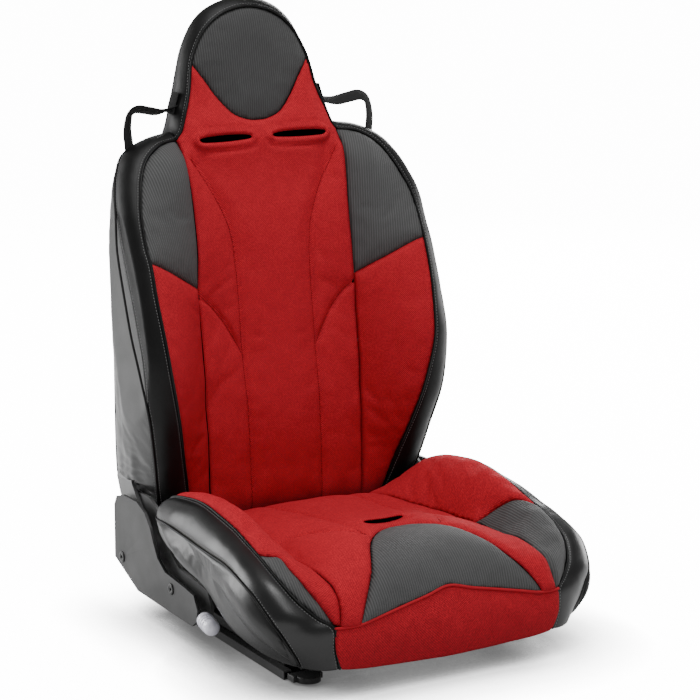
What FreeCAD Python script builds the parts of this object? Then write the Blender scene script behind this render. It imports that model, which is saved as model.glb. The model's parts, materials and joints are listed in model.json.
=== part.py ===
"""Reclining suspension racing seat on slide rails.

Millimetres. +Z up, the seat faces -Y, the occupant's right-hand side is -X.
The origin is the middle of the four floor-bolt holes, on the underside of the lower rails.
"""
import FreeCAD, Part
import math
import os

V = FreeCAD.Vector
SIDES = {"left": 1, "right": -1}          # the occupant's left is +X

# ---- driving dimensions -------------------------------------------------
RAIL_X = 202.0            # rail centre line from the seat's middle
RAIL_HALF_LENGTH = 205.0
RAIL_HALF_WIDTH = 23.0
RAIL_SHEET = 2.5
RAIL_TOP = 14.0           # top of the lower channel
RAIL_SLOT = 9.0           # half the gap between the channel's lips
BOLT_Y = 190.0            # floor bolts, front and rear of the middle
BOLT_HOLE_R = 4.25
UPPER_FRONT, UPPER_REAR = -175.0, 195.0
UPPER_TOP = 37.0
FLANGE_HALF = 18.0

TUBE_R = 12.7             # one inch frame tube
TUBE_WALL = 2.0
BASE_Z = UPPER_TOP + TUBE_R + 0.1
BASE_FRONT, BASE_REAR = -270.0, 215.0
MAT_Z = 82.0
MAT_SHEET = 3.0
PAD_FLOOR = 86.0          # underside of the cushion foam

PIVOT_Y, PIVOT_Z = 240.0, 152.0           # recline axis
PIN_R = 7.0
RUNNING = 0.05            # radial clearance of every running fit
PLATE_OUT = (282.0, 287.0)                # outer recliner plate, distances from the middle
PLATE_IN = (259.0, 264.0)
ARM_X = (266.0, 272.0)
SECTOR_X = (272.0, 277.5)
SECTOR_R = 62.0
SECTOR_ARC = (216.0, 288.0)               # degrees from +Y towards +Z
SCREWS_YZ = ((263.0, 86.0), (71.0, 82.0))
SHAFT_Y, SHAFT_Z, SHAFT_R = 120.0, 73.0, 5.0
PAWL_Y, PAWL_Z, PAWL_PIN_R = 225.0, 81.0, 4.0

BACK_TUBE_X, BACK_TUBE_Y = 228.0, 320.0
COVER_Y = (346.0, 350.0)
SEAM_X = 148.0            # back insert's half width
SLOT_X = (20.0, 120.0)    # shoulder belt slots
SLOT_Z = (781.0, 791.0)
YOKE_Z = (758.0, 817.0)
NECK_TUBE_R = 8.0
CROTCH_Y = (-134.5, -125.5)
CROTCH_HALF = 40.0

LATCH_Y, LATCH_Z = 90.0, 22.0             # slide latch bar
LATCH_R = 5.0
NOTCH_PITCH = 12.0

PARTS = {}


# ---- helpers -------------------------------------------------------------
def box(x0, x1, y0, y1, z0, z1):
    """A block between two corners, given in either order."""
    low = V(min(x0, x1), min(y0, y1), min(z0, z1))
    return Part.makeBox(abs(x1 - x0), abs(y1 - y0), abs(z1 - z0), low)


def rod(r, start, end):
    """A round bar from one point to another."""
    a, b = V(*start), V(*end)
    return Part.makeCylinder(r, (b - a).Length, a, b - a)


def x_rod(r, x0, x1, y, z):
    return rod(r, (min(x0, x1), y, z), (max(x0, x1), y, z))


def polygon(points):
    vectors = [V(*p) for p in points]
    return Part.makePolygon(vectors + vectors[:1])


def plate_x(points_yz, x0, x1):
    """A flat plate across X with the outline given as (y, z) points."""
    low, high = min(x0, x1), max(x0, x1)
    face = Part.Face(polygon([(low, y, z) for y, z in points_yz]))
    return face.extrude(V(high - low, 0, 0))


def loft(sections):
    """A solid through closed outlines with straight sides between them."""
    return Part.makeLoft([polygon(s) for s in sections], True, True)


def rounded_path(points, radius):
    """Straight runs joined by tangent arcs."""
    pts = [V(*p) for p in points]
    edges = []
    start = pts[0]
    for before, corner, after in zip(pts, pts[1:], pts[2:]):
        u, w = (before - corner).normalize(), (after - corner).normalize()
        half = u.getAngle(w) / 2.0
        setback = radius / math.tan(half)
        centre = corner + (u + w).normalize() * (radius / math.sin(half))
        a, b = corner + u * setback, corner + w * setback
        mid = centre + (corner - centre).normalize() * radius
        edges.append(Part.LineSegment(start, a).toShape())
        edges.append(Part.Arc(a, mid, b).toShape())
        start = b
    edges.append(Part.LineSegment(start, pts[-1]).toShape())
    return Part.Wire(edges)


def bent_tube(points, r, wall, radius):
    """A hollow tube along a path with bends; its outside as a second value."""
    path = rounded_path(points, radius)
    direction = V(*points[1]) - V(*points[0])

    def sweep(size):
        ring = Part.Wire(Part.makeCircle(size, V(*points[0]), direction))
        return path.makePipeShell([ring], True, False)

    outside = sweep(r)
    return outside.cut(sweep(r - wall)), outside


def straight_tube(r, wall, start, end):
    return rod(r, start, end).cut(rod(r - wall, start, end))


def group(shapes):
    return Part.makeCompound(shapes)


def both(make):
    """The left and the right piece made by one function, as two separate solids."""
    return group([make(s) for s in SIDES.values()])


def largest(shape):
    return max(shape.Solids, key=lambda solid: solid.Volume)


def hexagon(x0, x1, y, z, across_flats):
    reach = across_flats / math.sqrt(3)
    corners = [(y + reach * math.cos(math.radians(60 * i)), z + reach * math.sin(math.radians(60 * i)))
               for i in range(6)]
    return plate_x(corners, x0, x1)


def arc_points(y, z, r, start, end, count):
    """(y, z) points on an arc; the angle turns from +Y towards +Z."""
    step = (end - start) / (count - 1)
    angles = [math.radians(start + step * i) for i in range(count)]
    return [(y + r * math.cos(a), z + r * math.sin(a)) for a in angles]


def keep(name, shape):
    PARTS[name] = shape


# ---- lower rails: the fixed part -----------------------------------------
def lower_rail(s):
    x = s * RAIL_X
    length = (-RAIL_HALF_LENGTH, RAIL_HALF_LENGTH)
    rail = box(x - RAIL_HALF_WIDTH, x + RAIL_HALF_WIDTH, *length, 0, RAIL_TOP)
    inner = RAIL_HALF_WIDTH - RAIL_SHEET
    rail = rail.cut(box(x - inner, x + inner, *length, RAIL_SHEET, RAIL_TOP - RAIL_SHEET))
    rail = rail.cut(box(x - RAIL_SLOT, x + RAIL_SLOT, *length, RAIL_SHEET, RAIL_TOP))
    for y in (-BOLT_Y, BOLT_Y):
        rail = rail.cut(rod(BOLT_HOLE_R, (x, y, -1), (x, y, RAIL_SHEET + 1)))
    return rail


def latch_rack(s):
    """A notched ledge welded to the channel's inboard wall."""
    wall = s * (RAIL_X - RAIL_HALF_WIDTH)
    ledge = box(wall, wall - s * 20, -150, 120, RAIL_SHEET, 2 * RAIL_SHEET)
    for i in range(20):
        y = -138 + i * NOTCH_PITCH
        ledge = ledge.cut(box(wall - s * 4, wall - s * 17, y, y + 7, 0, RAIL_TOP))
    return ledge


def make_rails():
    for side, s in SIDES.items():
        keep("lower_rail_" + side, lower_rail(s))
    keep("latch_racks", both(latch_rack))


# ---- sliding base: rails, frame, suspension --------------------------------
def upper_rail(s):
    x = s * RAIL_X
    length = (UPPER_FRONT, UPPER_REAR)
    flange = box(x - FLANGE_HALF, x + FLANGE_HALF, *length, 5.5, 8)
    web = box(x - 6, x + 6, *length, 8, UPPER_TOP - 3)
    top = box(x - FLANGE_HALF, x + FLANGE_HALF, *length, UPPER_TOP - 3, UPPER_TOP)
    hollow = box(x - 3.5, x + 3.5, *length, 8, UPPER_TOP - 3)
    return flange.fuse([web, top]).cut(hollow).removeSplitter()


def slide_shoes():
    """Nylon shoes that guide the upper rails inside the channels."""
    shoes = []
    for s in SIDES.values():
        for y in (-150, 150):
            for edge in (-1, 1):
                x = s * RAIL_X + edge * FLANGE_HALF
                shoes.append(box(x, x + edge * 2.1, y - 20, y + 20, 3, 11))
    return group(shoes)


def base_tubes():
    for side, s in SIDES.items():
        x = s * RAIL_X
        keep("base_side_tube_" + side,
             straight_tube(TUBE_R, TUBE_WALL, (x, BASE_FRONT - 16, BASE_Z), (x, BASE_REAR + 16, BASE_Z)))
    side_cut = [rod(TUBE_R, (s * RAIL_X, -300, BASE_Z), (s * RAIL_X, 260, BASE_Z)) for s in SIDES.values()]
    crosses = []
    for y in (BASE_FRONT, BASE_REAR):
        reach = RAIL_X - 2
        cross = straight_tube(TUBE_R, TUBE_WALL, (-reach, y, BASE_Z), (reach, y, BASE_Z))
        for tube in side_cut:
            cross = cross.cut(tube)
        crosses.append(largest(cross))
    keep("base_cross_tubes", group(crosses))


def outriggers(s):
    """Box stubs that carry the recliner plates off the side tube."""
    stubs = []
    for y in (71, 196):
        stub = box(s * (RAIL_X + 6), s * PLATE_IN[0], y - 20, y + 20, BASE_Z - 8, BASE_Z + 8)
        stub = stub.cut(rod(TUBE_R, (s * RAIL_X, y - 30, BASE_Z), (s * RAIL_X, y + 30, BASE_Z)))
        stubs.append(largest(stub))
    return group(stubs)


def seat_mat():
    mat = box(-RAIL_X + 22, RAIL_X - 22, BASE_FRONT + 20, BASE_REAR - 35, MAT_Z, MAT_Z + MAT_SHEET)
    return mat.cut(box(-CROTCH_HALF, CROTCH_HALF, CROTCH_Y[0], CROTCH_Y[1], MAT_Z - 1, MAT_Z + 10))


def seat_lacing():
    """Steel hooks from the mat's edge down to the side tubes."""
    hooks = []
    top_of_tube = BASE_Z + TUBE_R
    for s in SIDES.values():
        for i in range(8):
            y = -230 + i * 55
            edge = s * (RAIL_X - 22)
            arm = box(edge, s * RAIL_X, y - 3, y + 3, MAT_Z, MAT_Z + MAT_SHEET)
            leg = box(s * (RAIL_X - 3), s * RAIL_X, y - 3, y + 3, top_of_tube, MAT_Z)
            hooks.append(arm.fuse(leg))
    return group(hooks)


# One row per cross-section of the cushion, front to rear:
# y, seam x, seam z, middle z, crest x, crest z, welt x, welt z, side x, side z, lower x, lower z
CUSHION = (
    (-331, 196, 112, 132, 204, 116, 212, 110, 222, 104, 222, 98),
    (-303, 191, 166, 180, 222, 172, 240, 160, 280, 128, 262, 108),
    (-245, 188, 180, 205, 238, 212, 260, 196, 303, 167, 268, 122),
    (-140, 183, 178, 205, 244, 232, 262, 214, 304, 187, 268, 122),
    (-60, 172, 177, 192, 244, 249, 264, 233, 303, 192, 268, 122),
    (50, 155, 174, 180, 243, 245, 264, 237, 302, 198, 258, 122),
    (120, 144, 173, 174, 240, 222, 262, 214, 290, 190, 257, 150),
    (140, 141, 172, 172, 236, 210, 248, 206, 256, 190, 256, 150),
    (178, 139, 162, 162, 225, 186, 240, 184, 252, 172, 250, 140),
)
CREST_SHOULDER = (22.0, 8.0)   # the crest's inner shoulder, inboard of it and below it
SHOULDER_GAP = 3.0             # the shoulder stays at least this far outboard of the seam


def cushion_at(y):
    """The cushion's section at any y, between two rows of the table."""
    for low, high in zip(CUSHION, CUSHION[1:]):
        if low[0] <= y <= high[0]:
            t = (y - low[0]) / (high[0] - low[0])
            return tuple(a + t * (b - a) for a, b in zip(low, high))
    raise ValueError("no cushion section at %s" % y)


def bolster(s):
    sections = []
    for y, seam_x, seam_z, _, crest_x, crest_z, welt_x, welt_z, side_x, side_z, low_x, low_z in CUSHION:
        outline = ((seam_x, PAD_FLOOR), (seam_x, seam_z),
                   (max(seam_x + SHOULDER_GAP, crest_x - CREST_SHOULDER[0]),
                    max(seam_z, crest_z - CREST_SHOULDER[1])),
                   (crest_x, crest_z), (welt_x, welt_z), (side_x, side_z), (low_x, low_z),
                   (min(low_x, 250) - 1, PAD_FLOOR))
        sections.append([(s * x, y, z) for x, z in outline])
    return loft(sections)


def insert_section(y, floor):
    _, seam_x, seam_z, mid_z = cushion_at(y)[:4]
    edge = seam_x - 0.2
    half = ((edge, floor), (edge, seam_z), (0.55 * seam_x, mid_z))
    return [(x, y, z) for x, z in half] + [(-x, y, z) for x, z in reversed(half)]


def insert_pad():
    """The middle of the cushion; its front ends wrap the anti-submarine belt slot."""
    rows = (CROTCH_Y[1],) + tuple(row[0] for row in CUSHION if row[0] > CROTCH_Y[1])
    pad = loft([insert_section(y, PAD_FLOOR) for y in rows])
    for s in SIDES.values():
        seam = cushion_at(CROTCH_Y[1])[1] - 0.2
        pad = pad.fuse(box(s * CROTCH_HALF, s * seam, CROTCH_Y[0] + 0.1, CROTCH_Y[1], PAD_FLOOR, 176))
    return pad


def nose_pad():
    """The front of the cushion, with the apron that hangs in front of the base tube."""
    floors = ((CROTCH_Y[0], PAD_FLOOR), (-140, PAD_FLOOR), (-245, PAD_FLOOR), (-286, PAD_FLOOR), (-288, 50),
              (-303, 50), (-331, 50), (-336, 52))
    sections = [insert_section(max(y, -331), floor) for y, floor in floors]
    front = [(x * 0.99, -336, z) for x, _, z in sections[-1]]
    return loft(sections[:-1] + [front])


# ---- recliner: plates, pins, fasteners --------------------------------------
# (y, z) outline of the outer plate, anticlockwise from the bottom front corner
PLATE_OUTLINE = ((-5, 40), (203, 42), (294, 79), (293, 172), (283, 189), (257, 197), (201, 198), (172, 187),
                 (151, 166), (136, 140), (122, 120), (94, 104), (20, 98), (-12, 94), (-26, 73), (-22, 52))
BACKING_STEP = 5.0         # the black backing plate shows this much around the front and top


def backing_outline():
    grown = []
    for y, z in PLATE_OUTLINE:
        grown.append((y - BACKING_STEP if y < 160 and z > 45 else y, z + BACKING_STEP if z > 92 else z))
    return grown


def plate_holes(plate, s, x_range):
    x0, x1 = s * (x_range[0] - 1), s * (x_range[1] + 1)
    for y, z in SCREWS_YZ:
        plate = plate.cut(x_rod(4.1, x0, x1, y, z))
    plate = plate.cut(x_rod(SHAFT_R + RUNNING, x0, x1, SHAFT_Y, SHAFT_Z))
    return plate.cut(x_rod(PAWL_PIN_R + 0.01, x0, x1, PAWL_Y, PAWL_Z))


def outer_plate(s):
    """The plain cover plate: only the two socket screws break its face."""
    plate = plate_x(PLATE_OUTLINE, s * PLATE_OUT[0], s * PLATE_OUT[1])
    for y, z in SCREWS_YZ:
        plate = plate.cut(x_rod(4.1, s * (PLATE_OUT[0] - 1), s * (PLATE_OUT[1] + 1), y, z))
        plate = plate.cut(x_rod(7.0, s * (PLATE_OUT[1] - 3), s * (PLATE_OUT[1] + 1), y, z))
    return plate


def inner_plate(s):
    plate = plate_x(backing_outline(), s * PLATE_IN[0], s * PLATE_IN[1])
    plate = plate_holes(plate, s, PLATE_IN)
    return plate.cut(x_rod(PIN_R + 0.01, s * (PLATE_IN[0] - 1), s * (PLATE_IN[1] + 1), PIVOT_Y, PIVOT_Z))


def recliner_fasteners():
    screws, spacers, nuts, pivots, pins = [], [], [], [], []
    for s in SIDES.values():
        for y, z in SCREWS_YZ:
            shank = x_rod(4.0, s * 250, s * 284.2, y, z)
            head = x_rod(6.5, s * 284.0, s * 288.5, y, z)
            socket = hexagon(s * 286.0, s * 290.0, y, z, 6.0)
            screws.append(head.fuse(shank).cut(socket))
            spacer = x_rod(6.5, s * PLATE_IN[1], s * PLATE_OUT[0], y, z)
            spacers.append(spacer.cut(x_rod(4.1, s * 263, s * 283, y, z)))
            nut = hexagon(s * 252.5, s * PLATE_IN[0], y, z, 13.0)
            nuts.append(nut.cut(x_rod(4.05, s * 250, s * 262, y, z)))
        pivots.append(x_rod(PIN_R, s * 256, s * PLATE_OUT[0], PIVOT_Y, PIVOT_Z))
        pins.append(x_rod(PAWL_PIN_R, s * 256, s * PLATE_OUT[0], PAWL_Y, PAWL_Z))
    keep("recliner_plate_screws", group(screws))
    keep("recliner_plate_spacers", group(spacers))
    keep("recliner_plate_nuts", group(nuts))
    keep("recliner_pivot_pins", group(pivots))
    keep("pawl_pins", group(pins))


def latch_brackets():
    """Ears under the upper rails that carry the slide latch bar."""
    ears = []
    for s in SIDES.values():
        x = s * (RAIL_X - FLANGE_HALF)
        ear = box(x, x + s * 4, LATCH_Y - 12, LATCH_Y + 12, 14.5, UPPER_TOP - 3)
        ears.append(ear.cut(x_rod(LATCH_R + RUNNING, x - s * 5, x + s * 9, LATCH_Y, LATCH_Z)))
    return group(ears)


def frame_bolts():
    """Bolts that hold the side tubes down on the upper rails."""
    bolts = []
    for s in SIDES.values():
        for y in (-148, 128):
            x = s * RAIL_X
            dome = Part.makeSphere(7.0, V(x, y, BASE_Z + TUBE_R - 2.5))
            bolts.append(dome.cut(rod(TUBE_R, (x, y - 20, BASE_Z), (x, y + 20, BASE_Z))))
    return group([largest(bolt) for bolt in bolts])


def make_seat():
    for side, s in SIDES.items():
        keep("upper_rail_" + side, upper_rail(s))
        keep("recliner_outer_plate_" + side, outer_plate(s))
        keep("recliner_inner_plate_" + side, inner_plate(s))
        keep("seat_bolster_" + side, bolster(s))
    base_tubes()
    keep("slide_shoes", slide_shoes())
    keep("frame_bolts", frame_bolts())
    keep("latch_brackets", latch_brackets())
    keep("recliner_outriggers", both(outriggers))
    keep("seat_suspension_mat", seat_mat())
    keep("seat_mat_hooks", seat_lacing())
    keep("seat_insert_pad", insert_pad())
    keep("seat_nose_pad", nose_pad())
    recliner_fasteners()


# ---- slide latch and recline release ------------------------------------------
def latch_tongue(s):
    """A flat lever on the latch bar with two teeth over the notched ledge."""
    x0, x1 = s * 173, s * 178
    arm = box(x0, x1, LATCH_Y - 70, LATCH_Y + 9, 9, 29)
    foot = box(s * 164, x1, LATCH_Y - 70, LATCH_Y - 34, 9, 12)
    teeth = [box(s * 164, s * 173, y, y + 5, 5.4, 9) for y in (LATCH_Y - 59, LATCH_Y - 47)]
    shape = arm.fuse([foot] + teeth).removeSplitter()
    return shape.cut(x_rod(LATCH_R, x0 - s * 5, x1 + s * 5, LATCH_Y, LATCH_Z))


def slide_release_lever():
    """The long arm from the right-hand tongue to the grip in front of the rail."""
    arm = box(-178, -173, -212, LATCH_Y - 70, 9, 19)
    return arm


def slide_release_grip():
    """A flat rounded tab in front of the rail's end."""
    grip = box(-222, -170, -232, -212, 3, 13)
    nose = rod(20, (-196, -232, 3), (-196, -232, 13)).common(box(-222, -170, -260, -232, 3, 13))
    grip = grip.fuse(nose).removeSplitter()
    return grip.makeFillet(2.0, [e for e in grip.Edges if abs(e.BoundBox.ZMax - 13) < 0.1
                                 and abs(e.BoundBox.ZMin - 13) < 0.1])


def pawl(s):
    """A toothed pawl that sits just clear of the sector."""
    tooth_angle = math.degrees(math.atan2(PAWL_Z + 24 - PIVOT_Z, PAWL_Y - 27 - PIVOT_Y))
    gap = 0.6
    block = arc_points(PIVOT_Y, PIVOT_Z, SECTOR_R + gap, tooth_angle - 9, tooth_angle + 9, 5)
    outer = arc_points(PIVOT_Y, PIVOT_Z, SECTOR_R + 15, tooth_angle + 9, tooth_angle - 9, 3)
    body = plate_x(block + outer, s * SECTOR_X[0], s * SECTOR_X[1])
    hub = x_rod(9.0, s * SECTOR_X[0], s * SECTOR_X[1], PAWL_Y, PAWL_Z)
    hub = hub.cut(x_rod(SECTOR_R + gap, s * 270, s * 280, PIVOT_Y, PIVOT_Z))
    neck = plate_x(((PAWL_Y - 2, PAWL_Z - 9), (PAWL_Y - 36, PAWL_Z + 6), (PAWL_Y - 24, PAWL_Z + 16),
                    (PAWL_Y - 2, PAWL_Z + 1)), s * SECTOR_X[0], s * SECTOR_X[1])
    tail = plate_x(((PAWL_Y - 66, PAWL_Z + 14), (PAWL_Y - 34, PAWL_Z + 5), (PAWL_Y - 32, PAWL_Z + 19),
                    (PAWL_Y - 66, PAWL_Z + 24)), s * SECTOR_X[0], s * SECTOR_X[1])
    whole = body.fuse([hub, neck, tail]).removeSplitter()
    return whole.cut(x_rod(PAWL_PIN_R + RUNNING, s * 270, s * 280, PAWL_Y, PAWL_Z))


def release_cam(s):
    """The finger on the cross shaft that draws the pawl's tail down."""
    x0, x1 = s * SECTOR_X[0], s * SECTOR_X[1]
    hub = x_rod(11.0, x0, x1, SHAFT_Y, SHAFT_Z)
    finger = plate_x(((SHAFT_Y, SHAFT_Z - 8), (SHAFT_Y + 44, SHAFT_Z - 2), (SHAFT_Y + 46, SHAFT_Z + 6),
                      (SHAFT_Y, SHAFT_Z + 8)), x0, x1)
    cam = hub.fuse(finger).removeSplitter()
    return cam.cut(x_rod(SHAFT_R, s * 270, s * 280, SHAFT_Y, SHAFT_Z))


KNOB_X = 285.0
KNOB_R = 13.5
KNOB_START, KNOB_END = (-37.0, 65.5), (-86.0, 54.5)     # (y, z) of the capsule's two centres' outer ends


def recline_lever():
    """The hand lever, right-hand side only, between the two plates."""
    x0, x1 = -SECTOR_X[0], -SECTOR_X[1]
    blade = plate_x(((SHAFT_Y - 8, SHAFT_Z - 11), (SHAFT_Y - 12, SHAFT_Z + 5), (96, 63), (50, 60), (0, 65),
                     (-34, 71.5),
                     (-52, 67.0), (-50, 57.0), (-34, 60.0), (0, 53), (50, 48), (96, 50)), x0, x1)
    eye = x_rod(11.2, x0, x1, SHAFT_Y, SHAFT_Z)
    return blade.cut(eye)


def lever_knob():
    """A capsule grip pushed over the lever's blade, tipped slightly down at the front."""
    start, end = V(-KNOB_X, *KNOB_START), V(-KNOB_X, *KNOB_END)
    along = (end - start).normalize()
    a, b = start + along * KNOB_R, end - along * KNOB_R
    knob = Part.makeCylinder(KNOB_R, (b - a).Length, a, along)
    knob = knob.fuse([Part.makeSphere(KNOB_R, a), Part.makeSphere(KNOB_R, b)]).removeSplitter()
    return knob.cut(PARTS["recline_lever_blade"])


def return_spring():
    """The coil that brings the hand lever back, on the cross shaft inside the right-hand plates."""
    coils = [Part.makeTorus(9.0, 1.2, V(-(240 + 3 * i), SHAFT_Y, SHAFT_Z), V(1, 0, 0)) for i in range(4)]
    return group(coils)


def make_levers():
    keep("latch_tongues", both(latch_tongue))
    keep("recliner_pawls", both(pawl))
    keep("release_cams", both(release_cam))
    keep("slide_latch_bar", x_rod(LATCH_R, -187, 187, LATCH_Y, LATCH_Z))
    keep("slide_release_lever", slide_release_lever())
    keep("slide_release_grip", slide_release_grip())
    keep("recline_cross_shaft", x_rod(SHAFT_R, -281, 281, SHAFT_Y, SHAFT_Z))
    keep("recline_lever_blade", recline_lever())
    keep("recline_lever_knob", lever_knob())
    keep("lever_return_spring", return_spring())


# ---- backrest -------------------------------------------------------------------
ARM_OUTLINE = ((214, 175), (212, 150), (222, 128), (240, 120), (262, 128), (276, 150), (300, 190),
               (334, 262), (334, 430), (306, 430), (306, 290), (262, 226))
ARM_JOGGLE = (217.0, 262.0)      # heights between which the arm steps inboard
ARM_STEP = 24.8                  # and by how much


def recliner_arm(s):
    """A plate that steps inboard from between the recliner plates to the back's side tube."""
    low, high = ARM_X
    step_from, step_to = ARM_JOGGLE
    profile = ((low, 80), (high, 80), (high, step_from), (high - ARM_STEP, step_to), (high - ARM_STEP, 450),
               (low - ARM_STEP, 450), (low - ARM_STEP, step_to), (low, step_from))
    web = Part.Face(polygon([(s * x, 100, z) for x, z in profile])).extrude(V(0, 300, 0))
    arm = web.common(plate_x(ARM_OUTLINE, s * 200, s * 300))
    return arm.cut(x_rod(PIN_R + 3, s * 250, s * 290, PIVOT_Y, PIVOT_Z))


def toothed_sector(s):
    """The sector riveted to the arm; its teeth run past the pawl as the back reclines."""
    start, end = SECTOR_ARC
    teeth = 24
    rim = []
    for i in range(teeth * 2 + 1):
        angle = math.radians(start + (end - start) * i / (teeth * 2))
        r = SECTOR_R if i % 2 else SECTOR_R - 3.0
        rim.append((PIVOT_Y + r * math.cos(angle), PIVOT_Z + r * math.sin(angle)))
    hub = arc_points(PIVOT_Y, PIVOT_Z, 22.0, end + 20, start + 340, 9)
    plate = plate_x(rim + hub, s * SECTOR_X[0], s * SECTOR_X[1])
    return plate.cut(x_rod(PIN_R + 3, s * 270, s * 280, PIVOT_Y, PIVOT_Z))


def pivot_bushes():
    bushes = []
    for s in SIDES.values():
        sleeve = x_rod(PIN_R + 3, s * ARM_X[0], s * SECTOR_X[1], PIVOT_Y, PIVOT_Z)
        bushes.append(sleeve.cut(x_rod(PIN_R + RUNNING, s * 260, s * 280, PIVOT_Y, PIVOT_Z)))
    return group(bushes)


def back_tubes():
    """Side tubes that bend in at the shoulders, two cross tubes and the head hoop."""
    outsides = []
    for side, s in SIDES.items():
        x = s * BACK_TUBE_X
        route = ((x, BACK_TUBE_Y, 190), (x, BACK_TUBE_Y, 640), (s * 137, 331, 742), (s * 137, 331, 757.5))
        hollow, outside = bent_tube(route[:3] + ((s * 137, 331, 757.5),), TUBE_R - 0.5, TUBE_WALL, 12.0)
        keep("back_side_tube_" + side, hollow)
        outsides.append(outside)
    crosses = []
    for z in (215, 610):
        reach = BACK_TUBE_X - 2
        cross = straight_tube(10.0, 1.6, (-reach, BACK_TUBE_Y, z), (reach, BACK_TUBE_Y, z))
        for tube in outsides:
            cross = cross.cut(tube)
        crosses.append(largest(cross))
    keep("back_cross_tubes", group(crosses))
    half = ((137, 331, 758), (122, 338, 830), (84, 350, 925), (60, 354, 950))
    hoop = half + tuple((-x, y, z) for x, y, z in reversed(half))
    hollow, outside = bent_tube(hoop, NECK_TUBE_R, 1.5, 16.0)
    keep("head_hoop_tube", hollow)
    return outside


# One row per level of the back, bottom to top:
# z, seam y, front welt x, front welt y, side welt x, side welt y
BACK = (
    (205, 201, 199, 184, 250, 192),
    (273, 205, 216, 161, 267, 170),
    (349, 212, 235, 137, 283, 153),
    (431, 222, 252, 129, 296, 162),
    (489, 227, 258, 138, 300, 183),
    (600, 238, 262, 179, 296, 235),
    (676, 251, 260, 219, 288, 259),
    (735, 266, 241, 258, 262, 284),
    (768, 280, 212, 286, 222, 297),
    (787, 290, 170, 300, 174, 302.5),
)
WING_REAR = 303.5
WING_REAR_HALF = 258.0      # the wings narrow to this at the rear, clear of the recliner plates
PAD_REAR = 292.0
# z, middle y of the back insert's face, then the y of the pad's rear
INSERT_ROWS = (
    (128, 224, PAD_REAR), (156, 207, PAD_REAR), (224, 207, PAD_REAR), (330, 216, PAD_REAR),
    (430, 232, PAD_REAR), (549, 250, PAD_REAR), (600, 256, 294), (660, 270, 306), (707, 284, 306),
    (757.5, 294, 306),
)


def back_row(z):
    for low, high in zip(BACK, BACK[1:]):
        if low[0] <= z <= high[0]:
            t = (z - low[0]) / (high[0] - low[0])
            return tuple(a + t * (b - a) for a, b in zip(low, high))
    return BACK[0] if z < BACK[0][0] else BACK[-1]


def back_wing(s, cutters):
    sections = []
    for z, seam_y, front_x, front_y, side_x, side_y in BACK:
        bulge = ((SEAM_X + front_x) / 2 + 12, min(seam_y, (seam_y + front_y) / 2 + 2))
        rear_x = min(side_x - 2, max(WING_REAR_HALF, side_x - 30))
        outline = ((SEAM_X, seam_y), bulge, (front_x, front_y), (side_x, side_y), (rear_x, WING_REAR),
                   (SEAM_X, WING_REAR))
        sections.append([(s * x, y, z) for x, y in outline])
    wing = loft(sections)
    for cutter in cutters:
        wing = wing.cut(cutter)
    return largest(wing)


def back_gusset(s):
    """The rear side band, from behind the side tube to the rear cover."""
    outer = ((266, 258), (349, 262), (489, 266), (640, 262))
    sections = []
    for z, x in outer:
        corners = ((249, WING_REAR + 0.5), (x, WING_REAR + 0.5),
                   (252, COVER_Y[1] - 4.5), (249, COVER_Y[1] - 4.5))
        sections.append([(s * px, y, z) for px, y in corners])
    return loft(sections)


def back_insert():
    sections = []
    for z, mid_y, rear_y in INSERT_ROWS:
        edge_y = min(back_row(z)[1], mid_y) if z >= 205 else mid_y
        half = SEAM_X - 0.3
        outline = ((-half, edge_y), (-half * 0.5, mid_y), (half * 0.5, mid_y), (half, edge_y), (half, rear_y),
                   (-half, rear_y))
        sections.append([(x, y, z) for x, y in outline])
    return loft(sections)


def yoke(hoop):
    """The padded band with the two shoulder belt slots."""
    low, high = YOKE_Z
    half = 147.5
    sections = []
    for z, front, rear in ((low + 0.1, 292, 352), (786, 287, 356), (high, 305, 368)):
        wide = half if z < 800 else 140
        sections.append([(-wide, front, z), (wide, front, z), (wide, rear, z), (-wide, rear, z)])
    block = loft(sections)
    for s in SIDES.values():
        block = block.cut(box(s * SLOT_X[0], s * SLOT_X[1], 270, 380, *SLOT_Z))
    return block.cut(hoop)


# z, half width, front y, rear y of the head pad
HEAD = ((817.1, 140, 305, 368), (864, 122, 318, 378), (914, 108, 329, 388), (964, 85, 335, 391),
        (992, 50, 340, 390), (1012, 12, 350, 382))


def head_pad(hoop):
    sections = []
    for z, half, front, rear in HEAD:
        corner = min(half * 0.5, 30)
        outline = ((-half + corner, front), (half - corner, front), (half, front + 14), (half, rear - 14),
                   (half - corner, rear), (-half + corner, rear), (-half, rear - 14), (-half, front + 14))
        sections.append([(x, y, z) for x, y in outline])
    return loft(sections).cut(hoop)


def rear_cover():
    corners = ((-250, 178), (250, 178), (250, 650), (240, 700), (215, 742), (180, 757.5),
               (-180, 757.5), (-215, 742), (-240, 700), (-250, 650))
    face = Part.Face(polygon([(x, COVER_Y[0], z) for x, z in corners]))
    return face.extrude(V(0, COVER_Y[1] - COVER_Y[0], 0))


def back_mat():
    return box(-196, 196, 303.8, 306.5, 235, 590)


def back_hooks():
    hooks = []
    inner = BACK_TUBE_X - (TUBE_R - 0.5)
    for s in SIDES.values():
        for i in range(7):
            z = 255 + i * 50
            hooks.append(box(s * 196, s * (inner + 1.0), 303.8, 306.5, z - 3, z + 3))
            hooks.append(box(s * (inner - 3.0), s * inner, 306.5, BACK_TUBE_Y, z - 3, z + 3))
    joined = [hooks[i].fuse(hooks[i + 1]) for i in range(0, len(hooks), 2)]
    return group(joined)


# (x, y, z) of a belt guide's webbing from the head's side to the shoulder
GUIDE_ROUTE = ((127.5, 342, 852), (160, 338, 850), (222, 328, 843), (231, 325, 834), (231, 324, 800),
               (231, 322, 752))
GUIDE_HALF_WIDTH = 14.0
GUIDE_SHEET = 3.0


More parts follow.
